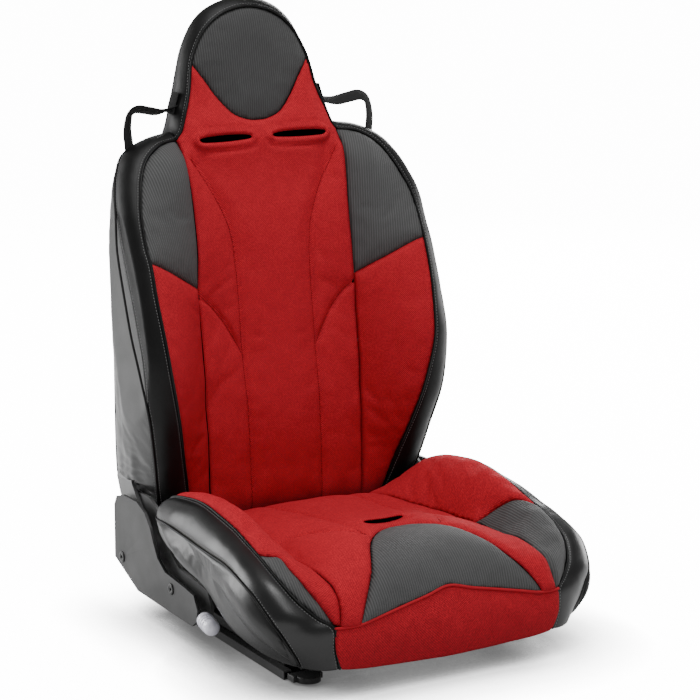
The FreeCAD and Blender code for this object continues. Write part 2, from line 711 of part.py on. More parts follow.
def belt_guide(s):
    """A webbing loop that keeps a shoulder belt beside the head."""
    spans = list(zip(GUIDE_ROUTE, GUIDE_ROUTE[1:]))
    outer, inner = [], []
    for i, (x, y, z) in enumerate(GUIDE_ROUTE):
        steps = [spans[j] for j in (i - 1, i) if 0 <= j < len(spans)]
        normal = V(0, 0, 0)
        for a, b in steps:
            run = (V(*b) - V(*a)).normalize()
            normal += V(-run.z, 0, run.x)
        normal.normalize()
        half = GUIDE_SHEET / 2
        outer.append((x + normal.x * half, y, z + normal.z * half))
        inner.append((x - normal.x * half, y, z - normal.z * half))
    sections = []
    for (xo, y, zo), (xi, _, zi) in zip(outer, inner):
        sections.append([(s * xo, y - GUIDE_HALF_WIDTH, zo), (s * xo, y + GUIDE_HALF_WIDTH, zo),
                         (s * xi, y + GUIDE_HALF_WIDTH, zi), (s * xi, y - GUIDE_HALF_WIDTH, zi)])
    return loft(sections)


def arm_bolts():
    bolts = []
    for s in SIDES.values():
        for z in (300, 400):
            x = s * (ARM_X[1] - ARM_STEP)
            bolts.append(x_rod(6.0, x, x + s * 1.6, BACK_TUBE_Y, z))
    return group(bolts)


def make_back():
    hoop = back_tubes()
    for side, s in SIDES.items():
        arm = recliner_arm(s)
        keep("recliner_arm_" + side, arm)
        keep("back_wing_" + side, back_wing(s, [arm]))
        keep("back_gusset_" + side, back_gusset(s))
        keep("belt_guide_loop_" + side, belt_guide(s))
    keep("recliner_sectors", both(toothed_sector))
    keep("recliner_bushes", pivot_bushes())
    keep("arm_bolts", arm_bolts())
    keep("back_suspension_mat", back_mat())
    keep("back_mat_hooks", back_hooks())
    keep("back_insert_pad", back_insert())
    keep("shoulder_yoke", yoke(hoop))
    keep("head_pad", head_pad(hoop))
    keep("rear_cover", rear_cover())


def main():
    make_rails()
    make_seat()
    make_levers()
    make_back()
    os.makedirs("parts", exist_ok=True)
    for name, shape in sorted(PARTS.items()):
        shape.exportStep(os.path.join("parts", name + ".step"))
    print("%d parts" % len(PARTS))


main()
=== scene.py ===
"""Racing seat: sewn covers, piping, stitching, webbing, finishes, light and camera around the frame."""
import json
import math
import bpy
import numpy as np
from mathutils import Matrix, Vector, bvhtree, geometry, kdtree, noise


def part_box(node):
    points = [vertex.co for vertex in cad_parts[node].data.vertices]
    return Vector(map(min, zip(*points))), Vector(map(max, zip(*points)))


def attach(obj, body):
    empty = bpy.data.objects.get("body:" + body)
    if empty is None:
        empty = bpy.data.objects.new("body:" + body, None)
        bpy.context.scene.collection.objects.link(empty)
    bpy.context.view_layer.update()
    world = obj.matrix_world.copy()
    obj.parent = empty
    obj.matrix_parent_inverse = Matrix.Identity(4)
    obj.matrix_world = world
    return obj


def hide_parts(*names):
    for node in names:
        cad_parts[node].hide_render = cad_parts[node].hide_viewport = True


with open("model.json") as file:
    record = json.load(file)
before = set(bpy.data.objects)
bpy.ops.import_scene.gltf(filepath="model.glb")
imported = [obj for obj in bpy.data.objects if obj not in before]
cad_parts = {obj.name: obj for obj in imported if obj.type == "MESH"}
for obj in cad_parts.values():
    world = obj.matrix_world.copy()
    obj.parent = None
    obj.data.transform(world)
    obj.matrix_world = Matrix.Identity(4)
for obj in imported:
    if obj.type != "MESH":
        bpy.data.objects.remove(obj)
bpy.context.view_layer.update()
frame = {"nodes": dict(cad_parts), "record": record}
nodes = frame["nodes"]

MM = 0.001
GRID = 5.0            # spacing of the cover meshes, in millimetres
COVER_THICKNESS = 1.6
CLOTH_PRESSURE = 4.0
CLOTH_STEPS = 20
PIPING_RADIUS = 2.1
ROW_INSET = 6.0       # distance of a stitch row from its seam
EDGE_SINK = 3.5       # how far a cover dips into its seams
CHANNEL_SINK = 5.0    # how far it dips into its sewn channels
BAND_SINK = 1.5       # how far a band dips into its seams
SIDES = {"left": 1, "right": -1}
SURFACES = {}         # each cover's final surface, for laying stitches on it
GRIDS = {}            # each band's final rows of points


# ---- finishes ---------------------------------------------------------------
def new_group(name, inputs, outputs):
    """An empty shader node group with named sockets."""
    group = bpy.data.node_groups.new(name, "ShaderNodeTree")
    for label, kind, value in inputs:
        socket = group.interface.new_socket(label, in_out="INPUT", socket_type="NodeSocket" + kind)
        if value is not None:
            socket.default_value = value
    for label, kind in outputs:
        group.interface.new_socket(label, in_out="OUTPUT", socket_type="NodeSocket" + kind)
    return group, group.nodes.new("NodeGroupInput"), group.nodes.new("NodeGroupOutput")


class Wires:
    """Short calls for adding and joining nodes in one tree."""

    def __init__(self, tree):
        self.tree = tree

    def node(self, kind, **values):
        made = self.tree.nodes.new("ShaderNode" + kind)
        for key, value in values.items():
            if hasattr(made, key):
                setattr(made, key, value)
            else:
                made.inputs[key.replace("_", " ").title()].default_value = value
        return made

    def join(self, source, target):
        self.tree.links.new(source, target)

    def math(self, operation, a, b=0.0):
        made = self.tree.nodes.new("ShaderNodeMath")
        made.operation = operation
        for socket, value in zip(made.inputs, (a, b)):
            if hasattr(value, "links"):
                self.join(value, socket)
            else:
                socket.default_value = value
        return made.outputs[0]

    def ramp(self, value, low, high):
        """A straight rise from 0 at low to 1 at high."""
        made = self.tree.nodes.new("ShaderNodeMapRange")
        made.inputs["From Min"].default_value = low
        made.inputs["From Max"].default_value = high
        self.join(value, made.inputs["Value"])
        return made.outputs["Result"]

    def mix(self, factor, a, b):
        made = self.tree.nodes.new("ShaderNodeMix")
        made.data_type = "RGBA"
        for socket, value in ((made.inputs[0], factor), (made.inputs[6], a), (made.inputs[7], b)):
            if hasattr(value, "links"):
                self.join(value, socket)
            else:
                socket.default_value = value
        return made.outputs[2]


def weave_group():
    """Crossed threads: a height for bump and a mask of which thread lies on top."""
    group, start, end = new_group(
        "woven threads",
        (("Vector", "Vector", None), ("Warp Pitch", "Float", 1.6), ("Weft Pitch", "Float", 1.6),
         ("Unevenness", "Float", 0.5)),
        (("Height", "Float"), ("Top Thread", "Float"), ("Blotch", "Float"), ("Fleck", "Float")))
    w = Wires(group)
    wobble = w.node("TexNoise", scale=380.0, detail=2.0)
    w.join(start.outputs["Vector"], wobble.inputs["Vector"])
    parts = w.node("SeparateXYZ")
    w.join(start.outputs["Vector"], parts.inputs[0])
    drift = w.math("MULTIPLY", w.math("SUBTRACT", wobble.outputs[0], 0.5), start.outputs["Unevenness"])
    waves = []
    for axis, pitch in (("X", "Warp Pitch"), ("Y", "Weft Pitch")):
        angle = w.math("MULTIPLY", parts.outputs[axis], 1000.0 * math.tau)
        turns = w.math("DIVIDE", angle, start.outputs[pitch])
        waves.append(w.math("SINE", w.math("ADD", turns, w.math("MULTIPLY", drift, 3.0))))
    product = w.math("MULTIPLY", waves[0], waves[1])
    crown = w.math("ADD", w.math("ABSOLUTE", waves[0]), w.math("ABSOLUTE", waves[1]))
    height = w.math("ADD", w.math("MULTIPLY", product, 0.5), w.math("MULTIPLY", crown, 0.35))
    w.join(height, end.inputs["Height"])
    w.join(w.ramp(product, -0.4, 0.4), end.inputs["Top Thread"])
    blotch = w.node("TexNoise", scale=60.0, detail=4.0)
    w.join(start.outputs["Vector"], blotch.inputs["Vector"])
    w.join(w.ramp(blotch.outputs[0], 0.3, 0.7), end.inputs["Blotch"])
    fleck = w.node("TexNoise", scale=310.0, detail=1.0)
    w.join(start.outputs["Vector"], fleck.inputs["Vector"])
    w.join(w.ramp(fleck.outputs[0], 0.36, 0.62), end.inputs["Fleck"])
    return group


def grain_group():
    """Pebbled grain with fine creases, for vinyl, rubber and paint."""
    group, start, end = new_group(
        "pebbled grain",
        (("Vector", "Vector", None), ("Scale", "Float", 900.0), ("Cloud Scale", "Float", 25.0)),
        (("Height", "Float"), ("Cloud", "Float")))
    w = Wires(group)
    cells = w.node("TexVoronoi", feature="SMOOTH_F1")
    fine = w.node("TexNoise", detail=6.0)
    cloud = w.node("TexNoise", detail=5.0)
    for texture, scale in ((cells, "Scale"), (fine, "Scale"), (cloud, "Cloud Scale")):
        w.join(start.outputs["Vector"], texture.inputs["Vector"])
        w.join(start.outputs[scale], texture.inputs["Scale"])
    w.join(w.math("ADD", cells.outputs[0], w.math("MULTIPLY", fine.outputs[0], 0.5)), end.inputs["Height"])
    w.join(w.ramp(cloud.outputs[0], 0.3, 0.7), end.inputs["Cloud"])
    return group


def wear_group():
    """Rubbed edges and scattered scuffs, as one mask."""
    group, start, end = new_group(
        "rubbed edges",
        (("Vector", "Vector", None), ("Edge", "Float", 0.5), ("Scuffs", "Float", 0.3)),
        (("Wear", "Float"),))
    w = Wires(group)
    shape = w.node("NewGeometry")
    edge = w.math("MULTIPLY", w.ramp(shape.outputs["Pointiness"], 0.51, 0.60), start.outputs["Edge"])
    speck = w.node("TexNoise", scale=240.0, detail=8.0)
    w.join(start.outputs["Vector"], speck.inputs["Vector"])
    scuff = w.math("MULTIPLY", w.ramp(speck.outputs[0], 0.62, 0.75), start.outputs["Scuffs"])
    both = w.math("MAXIMUM", edge, scuff)
    w.join(w.math("MINIMUM", both, 1.0), end.inputs["Wear"])
    return group


GROUPS = {"weave": weave_group(), "grain": grain_group(), "wear": wear_group()}


def start_material(name, roughness, metallic=0.0):
    material = bpy.data.materials.new(name)
    material.use_nodes = True
    w = Wires(material.node_tree)
    shader = material.node_tree.nodes["Principled BSDF"]
    shader.inputs["Roughness"].default_value = roughness
    shader.inputs["Metallic"].default_value = metallic
    coordinates = w.node("TexCoord")
    return material, w, shader, coordinates


def place_group(w, key, vector, **values):
    made = w.tree.nodes.new("ShaderNodeGroup")
    made.node_tree = GROUPS[key]
    w.join(vector, made.inputs["Vector"])
    for label, value in values.items():
        made.inputs[label.replace("_", " ")].default_value = value
    return made


def add_bump(w, shader, height, strength, distance):
    bump = w.node("Bump")
    bump.inputs["Strength"].default_value = strength
    bump.inputs["Distance"].default_value = distance
    w.join(height, bump.inputs["Height"])
    w.join(bump.outputs[0], shader.inputs["Normal"])


def woven(name, dark, light, warp, weft, uneven=0.5, bump=0.55, fleck=0.0, shine=0.08):
    """Woven cloth on the flat pattern's own coordinates."""
    material, w, shader, coordinates = start_material(name, 0.85)
    shader.inputs["Specular IOR Level"].default_value = shine
    cloth = place_group(w, "weave", coordinates.outputs["UV"], Warp_Pitch=warp, Weft_Pitch=weft,
                        Unevenness=uneven)
    thread = w.math("MULTIPLY", cloth.outputs["Top Thread"], 1.0 - fleck)
    base = w.mix(w.math("ADD", thread, w.math("MULTIPLY", cloth.outputs["Fleck"], fleck)), dark, light)
    tinted = w.mix(w.math("MULTIPLY", cloth.outputs["Blotch"], 0.22), base, dark)
    w.join(tinted, shader.inputs["Base Color"])
    add_bump(w, shader, cloth.outputs["Height"], bump, 0.0004)
    return material


def ribbed(name, dark, light, pitch):
    """Cloth with fine cords running lengthwise and a faint weave across them."""
    material, w, shader, coordinates = start_material(name, 0.75)
    shader.inputs["Specular IOR Level"].default_value = 0.3
    parts = w.node("SeparateXYZ")
    w.join(coordinates.outputs["UV"], parts.inputs[0])
    cloth = place_group(w, "weave", coordinates.outputs["UV"], Warp_Pitch=1.3, Weft_Pitch=1.7, Unevenness=0.3)
    cord = w.math("SINE", w.math("MULTIPLY", parts.outputs["X"], 1000.0 * math.tau / pitch))
    crest = w.ramp(cord, -0.7, 0.7)
    thread = w.math("MULTIPLY", w.math("ADD", cloth.outputs["Top Thread"], 2.0), 1.0 / 3.0)
    base = w.mix(w.math("MULTIPLY", crest, thread), dark, light)
    w.join(w.mix(w.math("MULTIPLY", cloth.outputs["Blotch"], 0.2), base, dark), shader.inputs["Base Color"])
    add_bump(w, shader, w.math("ADD", cord, w.math("MULTIPLY", cloth.outputs["Height"], 0.3)), 0.5, 0.0006)
    return material


def vinyl(name, colour, worn, roughness=0.36, grain=0.35, shine=0.45):
    material, w, shader, coordinates = start_material(name, roughness)
    shader.inputs["Specular IOR Level"].default_value = shine
    hide = place_group(w, "grain", coordinates.outputs["Object"], Scale=1100.0, Cloud_Scale=18.0)
    wear = place_group(w, "wear", coordinates.outputs["Object"], Edge=0.25, Scuffs=0.10)
    base = w.mix(wear.outputs["Wear"], colour, worn)
    w.join(base, shader.inputs["Base Color"])
    gloss = w.math("ADD", roughness - 0.05, w.math("MULTIPLY", hide.outputs["Cloud"], 0.12))
    w.join(gloss, shader.inputs["Roughness"])
    add_bump(w, shader, hide.outputs["Height"], grain, 0.0003)
    return material


def metal(name, colour, worn, roughness, metallic, grain=0.1, edge=0.6, scuffs=0.2, shine=0.5):
    """Painted or bare metal with rubbed edges."""
    material, w, shader, coordinates = start_material(name, roughness, metallic)
    shader.inputs["Specular IOR Level"].default_value = shine
    skin = place_group(w, "grain", coordinates.outputs["Object"], Scale=1600.0, Cloud_Scale=12.0)
    wear = place_group(w, "wear", coordinates.outputs["Object"], Edge=edge, Scuffs=scuffs)
    w.join(w.mix(wear.outputs["Wear"], colour, worn), shader.inputs["Base Color"])
    gloss = w.math("ADD", roughness - 0.06, w.math("MULTIPLY", skin.outputs["Cloud"], 0.14))
    w.join(gloss, shader.inputs["Roughness"])
    add_bump(w, shader, skin.outputs["Height"], grain, 0.0002)
    return material


def grey(value, tint=(1.0, 1.0, 1.0)):
    return (value * tint[0], value * tint[1], value * tint[2], 1.0)


FINISH = {
    "red_tweed": woven("red_tweed", (0.17, 0.009, 0.014, 1), (0.57, 0.020, 0.030, 1), 3.6, 3.6,
                       uneven=0.3, bump=0.9, fleck=0.3, shine=0.05),
    "grey_rib": ribbed("grey_rib", grey(0.040), grey(0.074), 4.2),
    "head_rib": ribbed("head_rib", grey(0.026), grey(0.050), 4.2),
    "black_vinyl": vinyl("black_vinyl", grey(0.003), grey(0.010), roughness=0.45, grain=0.5, shine=0.16),
    # the same vinyl as black_vinyl, glossier and with twice its base colour: a painted lighter look for the
    # bands that catch more light
    "gloss_vinyl_painted_lighter": vinyl("gloss_vinyl_painted_lighter", grey(0.006), grey(0.020), roughness=0.34, grain=0.25, shine=0.34),
    "webbing": woven("webbing", grey(0.010), grey(0.028), 1.2, 2.6, uneven=0.15, bump=0.6),
    # a black lining cloth made near-black and without shine: painted shade inside the belt slots, behind seams
    # and under the seat
    "shade_black_lining": woven("shade_black_lining", grey(0.001), grey(0.004), 1.5, 1.5, shine=0.0),
    "thread": woven("thread", grey(0.10), grey(0.26), 0.6, 0.6),
    "red_thread": woven("red_thread", (0.05, 0.001, 0.002, 1), (0.13, 0.003, 0.005, 1), 0.6, 0.6),
    "grey_plate_paint": metal("grey_plate_paint", grey(0.019), grey(0.05), 0.50, 0.0, shine=0.3),
    "black_plate_paint": metal("black_plate_paint", grey(0.012), grey(0.20), 0.38, 0.3),
    "frame_paint": metal("frame_paint", grey(0.014), grey(0.12), 0.42, 0.2),
    "rail_steel": metal("rail_steel", grey(0.004), grey(0.10), 0.45, 0.0, shine=0.15),
    "zinc_fasteners": metal("zinc_fasteners", grey(0.014), grey(0.10), 0.36, 0.6),
    "spring_steel": metal("spring_steel", grey(0.25), grey(0.5), 0.3, 0.9),
    "hardened_steel": metal("hardened_steel", grey(0.28), grey(0.5), 0.28, 0.95),
    "bronze": metal("bronze", (0.45, 0.28, 0.10, 1), (0.6, 0.42, 0.2, 1), 0.35, 0.9),
    "nylon": metal("nylon", grey(0.72, (1, 0.99, 0.94)), grey(0.8), 0.5, 0.0),
    "white_plastic": metal("white_plastic", grey(0.90, (0.99, 0.98, 1.09)), grey(0.8), 0.22, 0.0,
                           grain=0.03, edge=0.1, scuffs=0.1),
    "black_rubber": metal("black_rubber", grey(0.015), grey(0.04), 0.55, 0.0, grain=0.4),
    "suspension_webbing": woven("suspension_webbing", grey(0.012), grey(0.05), 6.0, 6.0),
}


# ---- curves and fitting surfaces ----------------------------------------------
def smooth_line(points, count):
    """count points on a smooth line through the given ones, evenly spread by control point."""
    pts = np.asarray(points, float)
    ends = np.vstack([2 * pts[0] - pts[1], pts, 2 * pts[-1] - pts[-2]])
    t = np.linspace(0, len(pts) - 1, count)
    i = np.minimum(t.astype(int), len(pts) - 2)
    u = (t - i)[:, None]
    a, b, c, d = ends[i], ends[i + 1], ends[i + 2], ends[i + 3]
    return 0.5 * (2 * b + (c - a) * u + (2 * a - 5 * b + 4 * c - d) * u ** 2
                  + (3 * b - a - 3 * c + d) * u ** 3)


def even_line(points, spacing):
    """The smooth line through the points, resampled at an even spacing."""
    dense = smooth_line(points, 60 * len(points))
    steps = np.linalg.norm(np.diff(dense, axis=0), axis=1)
    along = np.concatenate([[0], np.cumsum(steps)])
    count = max(2, int(round(along[-1] / spacing)) + 1)
    wanted = np.linspace(0, along[-1], count)
    return np.stack([np.interp(wanted, along, dense[:, k]) for k in range(dense.shape[1])], 1)


def closed_line(points, spacing):
    """A closed outline resampled evenly: smooth along its runs, sharp at its corners."""
    pts = np.asarray(points, float)
    before, after = pts - np.roll(pts, 1, 0), np.roll(pts, -1, 0) - pts
    cosine = (before * after).sum(1) / (np.linalg.norm(before, axis=1) * np.linalg.norm(after, axis=1))
    corners = list(np.where(cosine < math.cos(math.radians(38)))[0])
    if not corners:
        return even_line(np.vstack([pts, pts[:1]]), spacing)[:-1]
    pts = np.roll(pts, -corners[0], 0)
    stops = [c - corners[0] for c in corners] + [len(pts)]
    pts = np.vstack([pts, pts[:1]])
    return np.vstack([even_line(pts[a:b + 1], spacing)[:-1] for a, b in zip(stops, stops[1:])])


def mirrored(points):
    return [(-p[0],) + tuple(p[1:]) for p in points]


def flip(points, side):
    return [(side * p[0],) + tuple(p[1:]) for p in points]


class Skin:
    """A smooth surface through fitting points, laid out on a flat pattern (p, q), in millimetres."""

    def __init__(self, pattern, places, stiffness=1e-3):
        self.pattern = np.asarray(pattern, float) / 100.0
        count = len(self.pattern)
        kernel = self.kernel(self.pattern) + stiffness * np.eye(count)
        flat = np.hstack([np.ones((count, 1)), self.pattern])
        system = np.block([[kernel, flat], [flat.T, np.zeros((3, 3))]])
        places = np.asarray(places, float)
        self.weights = np.linalg.solve(system, np.vstack([places, np.zeros((3, 3))]))
        self.finder = None

    def kernel(self, points):
        r = np.linalg.norm(points[:, None] - self.pattern[None], axis=2)
        return np.where(r > 1e-9, r * r * np.log(np.maximum(r, 1e-9)), 0.0)

    def at(self, points):
        scaled = np.asarray(points, float) / 100.0
        flat = np.hstack([np.ones((len(scaled), 1)), scaled])
        return np.hstack([self.kernel(scaled), flat]) @ self.weights

    def locate(self, places):
        """The pattern positions whose surface points are nearest to the given places."""
        if self.finder is None:
            low, high = self.pattern.min(0) * 100 - 20, self.pattern.max(0) * 100 + 20
            p, q = np.meshgrid(np.arange(low[0], high[0], 2.0), np.arange(low[1], high[1], 2.0))
            self.samples = np.stack([p.ravel(), q.ravel()], 1)
            where = self.at(self.samples)
            self.finder = kdtree.KDTree(len(where))
            for i, place in enumerate(where):
                self.finder.insert(place, i)
            self.finder.balance()
        places = np.asarray(places, float)
        found = np.array([self.samples[self.finder.find(place)[1]] for place in places])
        for _ in range(4):
            here = self.at(found)
            along = (self.at(found + (0.5, 0.0)) - here) / 0.5
            across = (self.at(found + (0.0, 0.5)) - here) / 0.5
            gap = places - here
            aa, ab, bb = ((u * v).sum(1) for u, v in ((along, along), (along, across), (across, across)))
            ag, bg = (along * gap).sum(1), (across * gap).sum(1)
            area = np.maximum(aa * bb - ab * ab, 1e-6)
            step = np.stack([(bb * ag - ab * bg) / area, (aa * bg - ab * ag) / area], 1)
            found = found + np.clip(step, -3.0, 3.0)
        return found


def grow_columns(rows):
    """Pattern positions for rows of fitting points, from the lengths across each row and down each column."""
    pattern, places = [], []
    for column in range(len(rows[0])):
        reach = rows[0][column][1]
        for i, row in enumerate(rows):
            if i:
                reach -= math.dist(row[column][1:], rows[i - 1][column][1:])
            width = sum(math.dist(a, b) for a, b in zip(row[:column + 1], row[1:column + 1]))
            pattern.append((width, reach))
            places.append(row[column])
    return pattern, places


def with_mirror(pattern, places):
    pattern, places = list(pattern), list(places)
    for (p, q), (x, y, z) in list(zip(pattern, places)):
        if p > 0.01:
            pattern.append((-p, q))
            places.append((-x, y, z))
    return pattern, places


def inside(points, outline):
    """Which points lie inside a closed outline."""
    x, y = points[:, 0], points[:, 1]
    found = np.zeros(len(points), bool)
    for (x0, y0), (x1, y1) in zip(outline, np.roll(outline, -1, 0)):
        crosses = (y0 > y) != (y1 > y)
        at = (x1 - x0) * (y - y0) / (y1 - y0 + 1e-12) + x0
        found ^= crosses & (x < at)
    return found


def away_from(points, others):
    """Distance from each point to the nearest of the others, in two or three dimensions."""
    tree = kdtree.KDTree(len(others))
    pad = (0.0,) * (3 - len(others[0]))
    for i, place in enumerate(others):
        tree.insert(tuple(place) + pad, i)
    tree.balance()
    return np.array([tree.find(tuple(place) + pad)[2] for place in points])


# ---- mesh building ---------------------------------------------------------------
def vertex_normals(verts, faces):
    normals = np.zeros_like(verts)
    tri = np.asarray(faces)
    a, b, c = verts[tri[:, 0]], verts[tri[:, 1]], verts[tri[:, 2]]
    each = np.cross(b - a, c - a)
    for k in range(3):
        np.add.at(normals, tri[:, k], each)
    return normals / np.maximum(np.linalg.norm(normals, axis=1), 1e-12)[:, None]


def make_object(name, verts, faces, uv=None, finish=None):
    """A smooth-shaded object from millimetre vertices, with the flat pattern as its UV map in metres."""
    mesh = bpy.data.meshes.new(name)
    mesh.from_pydata([tuple(v) for v in np.asarray(verts) * MM], [], [tuple(map(int, f)) for f in faces])
    mesh.update()
    if uv is not None:
        layer = mesh.uv_layers.new(name="pattern")
        corner = np.empty(len(mesh.loops), int)
        mesh.loops.foreach_get("vertex_index", corner)
        layer.data.foreach_set("uv", (np.asarray(uv)[corner] * MM).ravel())
    for polygon in mesh.polygons:
        polygon.use_smooth = True
    piece = bpy.data.objects.new(name, mesh)
    bpy.context.scene.collection.objects.link(piece)
    if finish:
        mesh.materials.append(FINISH[finish])
    return piece


def thicken(piece, thickness):
    """Gives a cover its cloth's thickness, inwards, so that it is a closed piece."""
    layer = piece.modifiers.new("cloth thickness", "SOLIDIFY")
    layer.thickness = thickness * MM
    layer.offset = -1.0


def flatten(places, facing):
    """The cloth's own flat coordinates: the cover laid on its mean plane, lengthwise threads upright."""
    out = np.asarray(facing, float)
    up = np.array([0.0, 0.0, 1.0])
    up = up - out * (up @ out)
    up /= np.linalg.norm(up)
    side = np.cross(up, out)
    return np.stack([places @ side, places @ up], 1)


def remember(name, places, faces):
    SURFACES[name] = bvhtree.BVHTree.FromPolygons([tuple(v) for v in places],
                                                  [tuple(map(int, f)) for f in faces])


def crinkle(places, scale, size, seed):
    """Soft uneven fullness: smooth noise sampled on the surface."""
    offset = Vector((seed * 7.3, seed * 3.1, seed * 5.7))
    return np.array([noise.noise(Vector(p / scale) + offset) * size for p in places])


def stuffed(places, faces, pins, slack=0.004, cap=4.0):
    """Lets the filling press a cover out between its sewn lines, as a short cloth simulation."""
    scene = bpy.context.scene
    mesh = bpy.data.meshes.new("stuffing")
    mesh.from_pydata([tuple(v) for v in places * MM], [], [tuple(map(int, f)) for f in faces])
    cloth_piece = bpy.data.objects.new("stuffing", mesh)
    scene.collection.objects.link(cloth_piece)
    sewn = cloth_piece.vertex_groups.new(name="sewn")
    for i, weight in enumerate(pins):
        sewn.add([i], float(weight), "REPLACE")
    cloth = cloth_piece.modifiers.new("cloth", "CLOTH")
    settings = cloth.settings
    settings.quality = 6
    settings.mass = 0.15
    settings.vertex_group_mass = "sewn"
    settings.tension_stiffness = settings.compression_stiffness = 12.0
    settings.shear_stiffness = 4.0
    settings.bending_stiffness = 0.6
    settings.shrink_min = -slack
    settings.use_pressure = True
    settings.uniform_pressure_force = CLOTH_PRESSURE
    settings.effector_weights.gravity = 0.0
    cloth.point_cache.frame_start, cloth.point_cache.frame_end = 1, CLOTH_STEPS
    for step in range(1, CLOTH_STEPS + 1):
        scene.frame_set(step)
    shape = cloth_piece.evaluated_get(bpy.context.evaluated_depsgraph_get()).to_mesh()
    found = np.empty(len(places) * 3)
    shape.vertices.foreach_get("co", found)
    found = found.reshape(-1, 3) / MM
    bpy.data.objects.remove(cloth_piece)
    scene.frame_set(1)
    move = found - places
    length = np.linalg.norm(move, axis=1)[:, None]
    return places + move * np.minimum(1.0, cap / np.maximum(length, 1e-9)) * (1 - np.asarray(pins)[:, None])


def cover(name, skin, outline, body, finish, facing, holes=(), channels=(), fullness=4.0, lips=0.0, seed=1,
          spacing=GRID, extra=None, flat_cloth=True):
    """One sewn panel: cut to its outline on the pattern, laid on the skin, crowned between its seams."""
    border = closed_line(outline, spacing)
    rims = [closed_line(h, 3.0) for h in holes]
    lines = [even_line(c, spacing * 0.8) for c in channels]
    fixed = np.vstack([border] + rims + lines)
    low, high = border.min(0), border.max(0)
    p, q = np.meshgrid(np.arange(low[0], high[0], spacing), np.arange(low[1], high[1], spacing))
    p[::2] += spacing / 2
    loose = np.stack([p.ravel(), q.ravel()], 1)
    keep = inside(loose, border) & (away_from(loose, fixed) > spacing * 0.55)
    for rim in rims:
        keep &= ~inside(loose, rim)
    points = np.vstack([fixed, loose[keep]])
    edges, first = [], 0
    for loop, closed in [(border, True)] + [(r, True) for r in rims] + [(l, False) for l in lines]:
        count = len(loop)
        last = count if closed else count - 1
        edges += [(first + i, first + (i + 1) % count) for i in range(last)]
        first += count
    flat, _, faces, _, _, _ = geometry.delaunay_2d_cdt([Vector(v) for v in points], edges, [], 0, 1e-6)
    flat = np.array([tuple(v) for v in flat])
    faces = np.array([f for f in faces if len(f) == 3])
    centres = flat[faces].mean(1)
    keep = inside(centres, border)
    for rim in rims:
        keep &= ~inside(centres, rim)
    faces = faces[keep]
    used = np.unique(faces)
    renumber = -np.ones(len(flat), int)
    renumber[used] = np.arange(len(used))
    flat, faces = flat[used], renumber[faces]
    places = skin.at(flat)
    normals = vertex_normals(places, faces)
    if (normals.mean(0) @ np.asarray(facing)) < 0:
        faces = faces[:, ::-1]
        normals = -normals
    edge_gap = away_from(places, skin.at(border))
    lift = fullness * (1 - np.exp(-edge_gap / 14.0)) - EDGE_SINK * np.exp(-(edge_gap / 4.5) ** 2)
    if lines:
        gap = away_from(places, skin.at(np.vstack(lines)))
        lift += fullness * 0.5 * (1 - np.exp(-gap / 12.0)) - CHANNEL_SINK * np.exp(-(gap / 4.0) ** 2)
    for rim in rims:
        gap = away_from(places, skin.at(rim))
        lift += lips * np.exp(-((gap - 6.0) / 4.0) ** 2) - 2.5 * np.exp(-((gap - 13.0) / 2.5) ** 2)
    lift += crinkle(places, 70.0, 1.6, seed) + crinkle(places, 24.0, 0.5, seed + 4)
    if extra is not None:
        lift += extra(places)
    uv = flatten(places, normals.mean(0) / np.linalg.norm(normals.mean(0))) if flat_cloth else flat
    places = places + normals * lift[:, None]
    pins = np.exp(-(away_from(flat, fixed) / 7.0) ** 2)
    places = stuffed(places, faces, pins)
    remember(name, places, faces)
    piece = make_object(name, places, faces, uv, finish)
    thicken(piece, COVER_THICKNESS)
    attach(piece, body)
    return piece


def patch(name, rails, body, finish, outwards, along, across, bulge=0.0, folds=None, seed=1, slack=None,
          limit=None, crumple=1.0):
    """A sewn band or side panel stretched over matching rails; the first and last rail are its seams."""
    lines = np.array([smooth_line(rail, along) for rail in rails])
    grid = np.array([smooth_line(lines[:, i], across) for i in range(along)])
    down = np.concatenate([np.zeros((1, across)),
                           np.cumsum(np.linalg.norm(np.diff(grid, axis=0), axis=2), 0)])
    over = np.concatenate([np.zeros((along, 1)),
                           np.cumsum(np.linalg.norm(np.diff(grid, axis=1), axis=2), 1)], 1)
    places = grid.reshape(-1, 3)
    uv = np.stack([over.ravel(), down.ravel()], 1)
    faces = []
    for i in range(along - 1):
        for j in range(across - 1):
            a, b = i * across + j, (i + 1) * across + j
            faces += [(a, a + 1, b + 1), (a, b + 1, b)]
    faces = np.array(faces)
    normals = vertex_normals(places, faces)
    if (normals @ np.asarray(outwards, float)).mean() < 0:
        faces = faces[:, ::-1]
        normals = -normals
    t = np.tile(np.linspace(0, 1, across), along)
    s = np.repeat(np.linspace(0, 1, along), across)
    width = np.repeat(over[:, -1], across)
    edge = np.minimum(t, 1 - t) * width
    height = bulge(places) if callable(bulge) else bulge
    lift = height * 4 * t * (1 - t) - BAND_SINK * np.exp(-(edge / 4.0) ** 2)
    lift += (crinkle(places, 60.0, 1.3, seed) + crinkle(places, 18.0, 0.35, seed + 3)) * crumple
    if folds is not None:
        lift += folds(s, t) * (1 - np.exp(-edge / 9.0))
    places = places + normals * lift[:, None]
    ends = np.minimum(np.minimum(s, 1 - s) * 40.0, 1.0)
    pins = np.maximum(np.exp(-(edge / 7.0) ** 2), 1 - ends)
    if slack is not None:
        places = stuffed(places, faces, pins, slack=slack, cap=3.0)
    if limit is not None:
        places = limit(places)
    remember(name, places, faces)
    GRIDS[name] = places.reshape(along, across, 3)
    piece = make_object(name, places, faces, uv, finish)
    thicken(piece, COVER_THICKNESS)
    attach(piece, body)
    return piece


def ring_faces(count, rings, first=0, closed=False):
    """Faces joining each ring of count points to the next, and the last to the first where closed."""
    faces = []
    for ring in range(rings if closed else rings - 1):
        here, there = first + ring * count, first + (ring + 1) % rings * count
        faces += [(here + k, here + (k + 1) % count, there + (k + 1) % count, there + k) for k in range(count)]
    return faces


